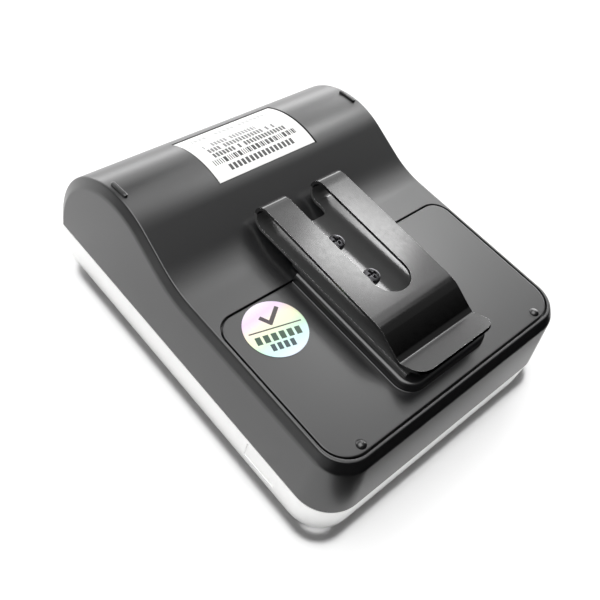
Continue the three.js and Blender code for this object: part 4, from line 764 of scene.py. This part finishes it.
def bay_skin():
    """Battery bay as one closed body, floor, inside walls, ledge and the outside down again, and roll guides.

    Each guide is a rib whose outline follows the top, half a wall inside it.
    """
    def plan(grow):
        return cover_plan(LEDGE - grow)

    outside = rounded_plan(OPENING_HALF + 0.1, OPENING_START - 0.1, COVER_END + COVER_SEAM + 0.1,
                           NEAR_CORNER, FAR_CORNER)
    ledge_foot = LEDGE_TOP - LEDGE_THICKNESS
    skin = Skin()
    plan_stack(skin, [(plan(-0.35), BAY_FLOOR), (plan(-0.1), BAY_FLOOR + 0.1), (plan(0), BAY_FLOOR + 0.4),
                      (plan(0), LEDGE_TOP - 0.15), (plan(0.15), LEDGE_TOP), (outside, LEDGE_TOP),
                      (outside, ledge_foot), (plan(BAY_WALL), ledge_foot),
                      (plan(BAY_WALL), BAY_FLOOR - BAY_WALL)])
    line = top_outline(WALL / 2)
    line = np.vstack([line[line[:, 0] > COVER_END], [COVER_END, FLAT_Z - WALL / 2], [COVER_END, GUIDE_FOOT],
                      [HALF_LENGTH - WALL / 2, GUIDE_FOOT]])
    for side in (-1, 1):
        faces = [at_side(line, side * x) for x in (ROLL_GUIDE, ROLL_GUIDE + WALL / 2)]
        skin.cap(faces[0])
        skin.cap(faces[1])
        skin.grid(np.stack(faces), closed=True)
    return skin


def rib_skin():
    """Two bars with round ends on the bulge: stadium rings laid on the arc, which shrink as they rise."""
    skin = Skin()
    stadium = rounded_plan(RIB_WIDTH / 2, -RIB_LENGTH / 2, RIB_LENGTH / 2, RIB_WIDTH / 2, RIB_WIDTH / 2, 7)
    for side in (-RIB_SIDE, RIB_SIDE):
        rings = []
        for inside, below in RIB_RINGS:
            x, y = (stadium * [1 - 2 * inside / RIB_WIDTH, 1 - 2 * inside / RIB_LENGTH]).T
            rings.append(at_side(on_circle(BULGE_Y, BULGE_Z, BULGE_RADIUS + RIB_PROUD - below,
                                           RIB_ANGLE + y / BULGE_RADIUS), side + x))
        skin.grid(np.array(rings), closed=True)
        skin.cap(rings[0])
        skin.cap(rings[-1])
    return skin


# ---- battery cover ------------------------------------------------------------------------------------


def cover_skin():
    """Thin plate with a soft rim, the clip's pad with a rolled shoulder, the tongue and two domed nubs.

    Each is a stack of plan rings, which draw in along a parabola where an edge is round. A nub is the cap of
    a sphere, as rings of radius R sin(angle).
    """
    def pad(inside):
        return rounded_plan(PAD_HALF - inside, COVER_END - PAD_LENGTH + inside, COVER_END - SEAT,
                            PAD_CORNER - inside, SEAT)

    def tongue(inside):
        return rounded_plan(TONGUE_HALF - inside, COVER_END - TONGUE_LENGTH,
                            COVER_END + TONGUE_LENGTH - inside, SEAT, TONGUE_CORNER - inside)

    def rolled(plan, *corner, steps=6):
        return [(plan(inside), z) for inside, z in parabola(*np.array(corner, float), steps)]

    skin = Skin()
    low, high = FLAT_Z - COVER_THICKNESS, FLAT_Z
    plan_stack(skin, [(cover_plan(0.2), low), (cover_plan(0), low + 0.2),
                      *rolled(cover_plan, (0, high - 0.3), (0, high), (0.3, high)), (cover_plan(0.42), high)])
    shoulder = [(0, PAD_TOP - PAD_SHOULDER), (0.1, PAD_TOP - 0.08), (PAD_SHOULDER, PAD_TOP)]
    plan_stack(skin, [(pad(-PAD_FILLET), high - 0.1),
                      *rolled(pad, (-PAD_FILLET, high), (0, high), (0, high + PAD_FILLET)),
                      *rolled(pad, *shoulder, steps=8), (pad(PAD_SHOULDER + 0.15), PAD_TOP)])
    crown = PAD_TOP - 0.02
    plan_stack(skin, [(tongue(0.2), FLAT_Z + 0.3), (tongue(0), FLAT_Z + 0.5),
                      *rolled(tongue, (0, PAD_TOP - 0.75), (0, crown), (0.7, crown)), (tongue(0.82), crown)])
    sphere = (NUB_RADIUS ** 2 + NUB_PROUD ** 2) / (2 * NUB_PROUD)
    turn = np.linspace(0, 2 * np.pi, 32, endpoint=False)
    circle = on_circle(0, 0, 1, turn)
    for side in (-NUB_SIDE, NUB_SIDE):
        place = [side, COVER_START + NUB_INSET]
        dome = [(place + circle * NUB_RADIUS, FLAT_Z - 0.5)]
        for angle in np.linspace(math.asin(NUB_RADIUS / sphere), 0.08, 8):
            dome.append((place + circle * sphere * math.sin(angle),
                         FLAT_Z + NUB_PROUD - sphere * (1 - math.cos(angle))))
        plan_stack(skin, dome)
    return skin


# ---- belt clip ----------------------------------------------------------------------------------------


def clip_line():
    """Centre line of the steel in (y, z): base, round loop, arm, bend, fold and lip, with eased corners.

    The numbers of its first and last point beside the base's slot come with it.
    """
    arm_top = LOOP_Z + LOOP_RADIUS
    bend_y, bend_z = LOOP_Y - ARM_LENGTH, arm_top - ARM_FALL
    fold_y, fold_z = bend_y - BEND_LENGTH, bend_z - BEND_FALL
    quarter = np.linspace(0, np.pi / 2, 7)
    base_y = np.concatenate([np.linspace(CLIP_BASE_START, LOOP_Y - BASE_SLOT - 0.01, 30),
                             LOOP_Y - BASE_SLOT + BASE_SLOT_CORNER * (1 - np.cos(quarter))])
    base = spread(base_y, CLIP_BASE_Z)
    loop = arc((LOOP_Y, LOOP_Z), LOOP_RADIUS, -np.pi / 2, np.pi / 2, 5.0)
    fall = ARM_FALL / (LOOP_Y - bend_y - BEND_LENGTH * BEND_SHARE)
    slot_end, reach = LOOP_Y - SLOT_LENGTH, SLOT_HALF * (1 - np.sin(np.linspace(0, np.pi / 2, 13)))
    arm_y = np.concatenate([np.linspace(LOOP_Y - 1.5, slot_end + SLOT_HALF, 12)[:-1], slot_end + reach])
    arm = spread(arm_y, arm_top - (LOOP_Y - arm_y) * fall)
    corners = np.array([arm[-1], (bend_y + BEND_LENGTH * BEND_SHARE, bend_z),
                        (bend_y - BEND_LENGTH * BEND_SHARE, bend_z - BEND_FALL * BEND_DROP),
                        (fold_y + CLIP_STEEL, fold_z + CLIP_STEEL / 2), (fold_y - CLIP_STEEL / 2, fold_z),
                        (fold_y - LIP_LENGTH, fold_z + LIP_RISE)])
    tail = eased([corners[k:k + 1] for k in range(6)], STRIP_CUTS)[0]
    lip = tail[-1] + (tail[-2] - tail[-1]) * np.linspace(1, 0, LIP_POINTS)[:, None]
    closed = len(base) - len(quarter)
    return np.concatenate([base, loop, arm, tail[1:-1], lip[1:]]), closed, len(base) - 1


def clip_skin():
    """Half width of the steel along its line: full, less the slots inside and the lip's round corners."""
    line, closed, opened = clip_line()
    y, z = line.T
    number = np.arange(len(line))
    inner = np.zeros(len(line))
    round_base = np.clip(LOOP_Y - BASE_SLOT + BASE_SLOT_CORNER - y[closed:], 0, BASE_SLOT_CORNER)
    inner[closed:] = SLOT_HALF - BASE_SLOT_CORNER + np.sqrt(BASE_SLOT_CORNER ** 2 - round_base ** 2)
    past_loop = number > opened + LOOP_MIDDLE
    past = np.clip(LOOP_Y - SLOT_LENGTH + SLOT_HALF - y, 0, SLOT_HALF)
    inner[past_loop] = np.sqrt(np.maximum(SLOT_HALF ** 2 - past[past_loop] ** 2, 0))
    lip = np.clip(y[-1] + LIP_CORNER - y, 0, LIP_CORNER) * (number > len(line) - LIP_POINTS)
    outer = CLIP_HALF - LIP_CORNER + np.sqrt(LIP_CORNER ** 2 - lip ** 2)
    share = np.linspace(0, 1, 9)
    across = inner[:, None] + (outer - inner)[:, None] * share
    first = SLOT_HALF - BASE_SLOT_CORNER
    across[:closed] = first + (CLIP_HALF - first) * share
    centre = np.linspace(0, first, 4)[None, :].repeat(closed + 1, 0)
    skin = Skin()
    for sign in (1, -1):
        for x, ys, zs in ((across, y, z), (centre, y[:closed + 1], z[:closed + 1])):
            skin.grid(spread(sign * x, ys[:, None], zs[:, None]), flip=sign < 0)
    return skin


def clip_pieces():
    """Steel thickness and soft edges on the whole strip, which then parts at the loop's outer line.

    The two parts keep the normals of the whole strip, so no line shows between them. Each is closed by a flat
    face across either side of the loop.
    """
    strip = mesh_piece("clip_strip", clip_skin(), clip_steel, weld=0.003, sharp=80)
    strip.data.materials.append(edge_steel)
    thick = strip.modifiers.new("steel", "SOLIDIFY")
    thick.thickness = CLIP_STEEL * MM
    thick.offset = 0
    thick.use_even_offset = True
    # Bevel faces take the bright edge steel, partly worn plating and partly a painted highlight
    soften(strip, "rolled_edges", EDGE_ROLL, 50, 3).material = 1
    solid = bpy.data.meshes.new_from_object(strip.evaluated_get(bpy.context.evaluated_depsgraph_get()))
    bpy.data.objects.remove(strip)
    points, normals = rows_of(solid.vertices, "co"), rows_of(solid.corner_normals, "vector")
    faces = [list(face.vertices) for face in solid.polygons]
    middle = np.array([face.center for face in solid.polygons]) / MM
    starts = np.array([face.loop_start for face in solid.polygons])
    finish = np.array([face.material_index for face in solid.polygons])
    is_arm = np.where(middle[:, 1] > LOOP_Y, middle[:, 2] > LOOP_Z, middle[:, 2] > CLIP_BASE_Z + ARM_FROM)
    # The base takes the steel painted lighter, which stands in for light in the arm's shade
    for node, steel, up, chosen in (("clip_base", lightened_base_steel, 1.0, ~is_arm),
                                    ("clip_arm", clip_steel, -1.0, is_arm)):
        picked = np.flatnonzero(chosen)
        used = np.unique(np.concatenate([faces[i] for i in picked]))
        number = {old: new for new, old in enumerate(used)}
        parts = [[number[v] for v in faces[i]] for i in picked]
        corners = [normals[starts[i] + k] for i in picked for k in range(len(faces[i]))]
        kept = points[used]
        on_cut = (np.abs(kept[:, 2] - LOOP_Z * MM) < 1e-6) & (kept[:, 1] > LOOP_Y * MM)
        for sign in (1, -1):
            ring = np.flatnonzero(on_cut & (kept[:, 0] * sign > 0))
            spokes = kept[ring, :2] - kept[ring, :2].mean(0)
            ring = ring[np.argsort(up * np.arctan2(spokes[:, 1] * 8, spokes[:, 0]))]
            parts.append(ring.tolist())
            corners += [np.array([0, 0, up])] * len(ring)
        mesh = bpy.data.meshes.new(f"{node}_look")
        mesh.from_pydata(kept.tolist(), [], parts, shade_flat=False)
        mesh.normals_split_custom_set([tuple(normal) for normal in corners])
        mesh.materials.append(steel)
        mesh.materials.append(edge_steel)
        mesh.polygons.foreach_set("material_index", np.append(finish[picked], [0, 0]))
        settle(link(f"{node}_look", mesh), node)


# ---- clip screws --------------------------------------------------------------------------------------


def screw_skin(x, y, seat):
    """Pan head as heights over a disc: a crown that falls to the rim, less a tapered cross with flared ends.

    The cross deepens with the distance inside the arms' outline, which is widened at the middle, and gets
    shallower towards the arms' ends. Rings below the head make the shank.
    """
    r = np.concatenate([np.linspace(0.02, 1.5, 38), np.linspace(1.55, HEAD_RADIUS, 12)])
    turn = np.linspace(0, 2 * np.pi, 120, endpoint=False)
    px, py = r[:, None] * np.cos(turn), r[:, None] * np.sin(turn)
    share = r / HEAD_RADIUS
    edge = np.maximum(share - EDGE_FROM, 0) / (1 - EDGE_FROM)
    crown = HEAD_HEIGHT * np.sqrt(1 - share ** 2 * CROWN_FALL) * np.sqrt(1 - edge ** 2 * EDGE_FALL)
    ax, ay = np.abs(px), np.abs(py)
    bars = [np.minimum(CROSS_ARM - along, CROSS_HALF + FLARE * (along > FLARE_FROM) - across)
            for along, across in ((ax, ay), (ay, ax))]
    inside = np.maximum(*bars) + CROSS_MIDDLE[0] * np.exp(-(ax ** 2 + ay ** 2) / CROSS_MIDDLE[1])
    taper = CROSS_TAPER[0] - np.hypot(px, py) / CROSS_ARM * CROSS_TAPER[1]
    cross = CROSS_DEPTH * np.clip(inside / CROSS_SLOPE, 0, 1) * np.clip(taper, 0, 1)
    top = spread(x + px, y + py, seat + crown[:, None] - cross)
    skin = Skin()
    skin.grid(top, closed=True)
    skin.cap(top[0])
    rings = [top[-1], top[-1] * [1, 1, 0] + [0, 0, seat]]
    rings += [at_height(on_circle(x, y, radius, turn), seat - depth) for radius, depth in SHANK]
    skin.grid(np.array(rings), closed=True)
    skin.cap(rings[-1])
    return skin


# ---- label and sticker --------------------------------------------------------------------------------


def printed_sheet(name, grid, uv, node, thickness):
    """A thin sheet over a grid, with its own map in millimetres, closed by a thickness below it."""
    skin = Skin()
    skin.grid(grid)
    mesh = skin.mesh(name)
    layer = mesh.uv_layers.new(name="sheet_mm")
    corner = np.empty(len(mesh.loops), int)
    mesh.loops.foreach_get("vertex_index", corner)
    layer.data.foreach_set("uv", uv.reshape(-1, 2)[corner].ravel())
    mesh.materials.append(SLOT_MATERIALS[SLOT_OF[node]])
    piece = link(name, mesh)
    back = piece.modifiers.new("sheet", "SOLIDIFY")
    back.thickness = thickness * MM
    back.offset = -1
    settle(piece, node)


def label_piece():
    """Label as a strip of the cylinder just above the recess floor, on rows of equal angle."""
    radius = BULGE_RADIUS - LABEL_RECESS + SEAT + LABEL_THICKNESS
    share = np.concatenate([[0], np.linspace(0.003, 0.997, 38), [1]])
    x = LABEL_SHIFT + LABEL_HALF * (2 * share - 1)
    angle = (LABEL_TO + (LABEL_FROM - LABEL_TO) * share)[:, None]
    grid = spread(x, BULGE_Y + radius * np.cos(angle), BULGE_Z + radius * np.sin(angle))
    uv = spread(x - x[0], (angle - LABEL_TO) * -BULGE_RADIUS)
    printed_sheet("rating_label", grid, uv, "rating_plate", LABEL_THICKNESS)


def sticker_piece():
    """Disc from a square grid by x = a sqrt(1 - b^2 / 2), y = b sqrt(1 - a^2 / 2), which has no pole."""
    a = np.concatenate([[-1], np.linspace(-0.99, 0.99, 31), [1]])
    b = a[:, None]
    px = STICKER_RADIUS * a * np.sqrt(1 - b ** 2 / 2)
    py = STICKER_RADIUS * b * np.sqrt(1 - a ** 2 / 2)
    edge = np.clip((np.hypot(px, py) / STICKER_RADIUS - 0.93) / 0.07, 0, 1)
    grid = spread(STICKER_X + px, STICKER_Y + py, STICKER_TOP - STICKER_DROOP * edge)
    printed_sheet("inspection_disc", grid, spread(px, py), "inspection_sticker", STICKER_FILM)


def fit_release_key(piece):
    """The key's face fills its opening at the ends and below; its upper side is lowered on a slant.

    The slot above it is widest at the end towards the bulge, so its shade shows as a line that fades.
    """
    points = rows_of(piece.data.vertices, "co")
    x, y, z = points.T.copy()
    face = x < x.min() + KEY_FACE * MM
    low, high = points[face].min(0), points[face].max(0)
    cap = (x < x.min() + KEY_DEPTH * MM) & (y > low[1] - KEY_GROW * MM) & (y < high[1] + KEY_GROW * MM)
    share = np.clip((y - low[1]) / (high[1] - low[1]), 0, 1)
    upper = cap & (z > high[2] - KEY_UPPER * MM)
    points[upper, 2] -= (KEY_SLOT + KEY_SLANT * share[upper]) * MM
    points[face, 1] += np.sign(y[face] - (low[1] + high[1]) / 2) * KEY_GROW * MM
    points[face & (z < (low[2] + high[2]) / 2), 2] -= KEY_GROW * MM
    points[face, 0] += KEY_SINK * MM
    piece.data.vertices.foreach_set("co", points.ravel())
    piece.data.update()


# ---- set ----------------------------------------------------------------------------------------------


def add_camera():
    """A camera turned by azimuth, elevation and roll: its axes point right, up and back."""
    a, e, r = CAMERA_AZIMUTH, CAMERA_ELEVATION, CAMERA_ROLL
    back = Vector((math.sin(a) * math.cos(e), -math.cos(a) * math.cos(e), math.sin(e)))
    level = Vector((math.cos(a), math.sin(a), 0))
    rise = back.cross(level)
    right = level * math.cos(r) + rise * math.sin(r)
    up = rise * math.cos(r) - level * math.sin(r)
    data = bpy.data.cameras.new("photo_camera")
    data.lens = CAMERA_LENS
    data.sensor_width = 36.0
    data.clip_start = 0.005
    camera = link("photo_camera", data)
    camera.matrix_world = Matrix.Translation(CAMERA_PLACE) @ Matrix((right, up, back)).transposed().to_4x4()
    bpy.context.scene.camera = camera


# Name, place, target and size in metres, watts, and the kind of ray that doesn't see it
SOFTBOXES = [
    ("back_softbox", (0.52, 0.32, 0.68), (0, 0, 0.02), (0.66, 0.62), 2.0, None),
    ("spot_softbox", (0.556, 0.27, 0.685), (0, -0.01, 0.035), (0.13, 0.11), 0.42, None),
    ("overhead_softbox", (-0.3, 0.1, 1.0), (0, 0, 0), (1.15, 1.1), 11.8, None),
    ("rear_strip", (0.2, 0.8, 0.26), (0.05, 0, 0.05), (1.7, 0.5), 3.8, None),
    ("rear_bar", (0.28, 0.78, 0.1), (0.05, 0, 0.05), (1.5, 0.18), 2.3, "visible_diffuse"),
    ("side_bar", (0.85, 0.25, 0.23), (0, 0, 0.03), (0.8, 0.42), 6.0, "visible_diffuse"),
    ("front_fill", (0.6, -0.6, 0.8), (0, 0, 0), (1.2, 1.0), 3.1, "visible_glossy"),
    ("left_fill", (-0.88, -0.1, 0.38), (0, 0, 0), (0.6, 0.6), 1.2, "visible_glossy"),
]


def softbox(name, place, target, size, power, unseen):
    data = bpy.data.lights.new(name, "AREA")
    data.shape = "RECTANGLE"
    data.size, data.size_y = size
    data.energy = power
    light = link(name, data)
    light.location = place
    light.rotation_euler = (Vector(target) - Vector(place)).to_track_quat("-Z", "Y").to_euler()
    if unseen:
        setattr(light, unseen, False)


def panel(name, corners, stuff, code, roughness, specular, faces=((0, 1, 2, 3),)):
    """A flat piece of the set, of one plain stuff."""
    mesh = bpy.data.meshes.new(name)
    mesh.from_pydata(corners, [], faces)
    material, _, surface = new_material(stuff)
    feed(surface, {"Base Color": linear(code), "Roughness": roughness, "Specular IOR Level": specular})
    mesh.materials.append(material)
    made = link(name, mesh)
    return made


def flag(name, corners, shades=False, **faces):
    """Black cloth that only reflections see, or that only keeps light off the floor if it shades."""
    cloth = panel(name, corners, "black_flag_cloth", "#050505", 1.0, 0.0, **faces)
    cloth.visible_camera = False
    cloth.visible_diffuse = shades
    cloth.visible_shadow = shades
    cloth.visible_glossy = not shades
    cloth.visible_transmission = False


def add_set():
    floor = [(x, y, -FLOOR_DROP * MM) for x, y in ((-3.0, -3.0), (3.0, -3.0), (3.0, 3.0), (-3.0, 3.0))]
    panel("studio_floor", floor, "white_sweep_paper", "#f2f2f2", 0.9, 0.1)
    for box in SOFTBOXES:
        softbox(*box)
    flag("front_flag", [(-0.3, -0.2, 0.0), (0.8, -0.2, 0.0), (0.8, -0.25, 0.31), (-0.3, -0.25, 0.31)])
    flag("front_cloth", [(x, y, FOOT_HEIGHT * MM)
                         for x, y in ((-0.3, -0.3), (0.7, -0.3), (0.7, -0.059), (-0.3, -0.059))])
    rings = [at_height(rounded_plan(HALF_WIDTH + out, -HALF_LENGTH - out, FOOT_END + out, FOOT_CORNER + out,
                                    FOOT_CORNER + out), FOOT_HEIGHT) for out in (-FOOT_INSIDE, FOOT_REACH)]
    flag("foot_cloth", (np.concatenate(rings) * MM).tolist(), shades=True,
         faces=grid_faces(2, len(rings[0]), 0, closed=True))
    world = bpy.data.worlds.new("studio_room")
    world.use_nodes = True
    bpy.context.scene.world = world
    feed(world.node_tree.nodes["Background"], {"Color": linear("#dadada"), "Strength": 0.3})
    bpy.context.scene.view_settings.view_transform = "Standard"


add_camera()
add_set()

for name, skin, node in (("back_case_look", back_case_skin, "back_case"),
                         ("battery_bay_look", bay_skin, "back_case"),
                         ("bulge_ribs", rib_skin, "back_case"),
                         ("battery_cover_look", cover_skin, "battery_cover")):
    settle(mesh_piece(name, skin(), black_abs), node)
clip_pieces()
for number, screw_y in enumerate(SCREW_PLACES, 1):
    screw = mesh_piece(f"clip_screw_{number}_look", screw_skin(0, screw_y, SCREW_SEAT), screw_steel,
                       weld=0.002, sharp=32)
    settle(screw, f"clip_screw_{number}")
label_piece()
sticker_piece()

for node, thing in NODES.items():
    thing.data.materials.clear()
    thing.data.materials.append(SLOT_MATERIALS[SLOT_OF[node]])

# Width of the softened edges of each piece that keeps its solid's shape (mm)
SOFT_EDGES = {
    "front_case": 0.08, "paper_lid": 0.15, "lid_window": 0.08, "power_key": 0.2, "feed_key": 0.2,
    "release_key": 0.04, "feed_roller": 0.2, "roller_bush_left": 0.12, "roller_bush_right": 0.12,
    "roller_gear": 0.05, "idler_gear": 0.05, "motor_pinion": 0.05, "mechanism_frame": 0.12,
    "head_plate": 0.12, "tear_bar": 0.04, "usb_socket": 0.08, "main_board": 0.06, "charge_board": 0.06,
    "radio_module": 0.12, "head_connector": 0.12, "buzzer": 0.15, "battery_pack": 0.2, "light_pipe_1": 0.1,
    "light_pipe_2": 0.1, "feed_motor": 0.2, **{f"case_screw_{number}": 0.08 for number in (1, 2, 3, 4)},
}
for node, width in SOFT_EDGES.items():
    merged_copy(node, width)
fit_release_key(bpy.data.objects["release_key_look"])
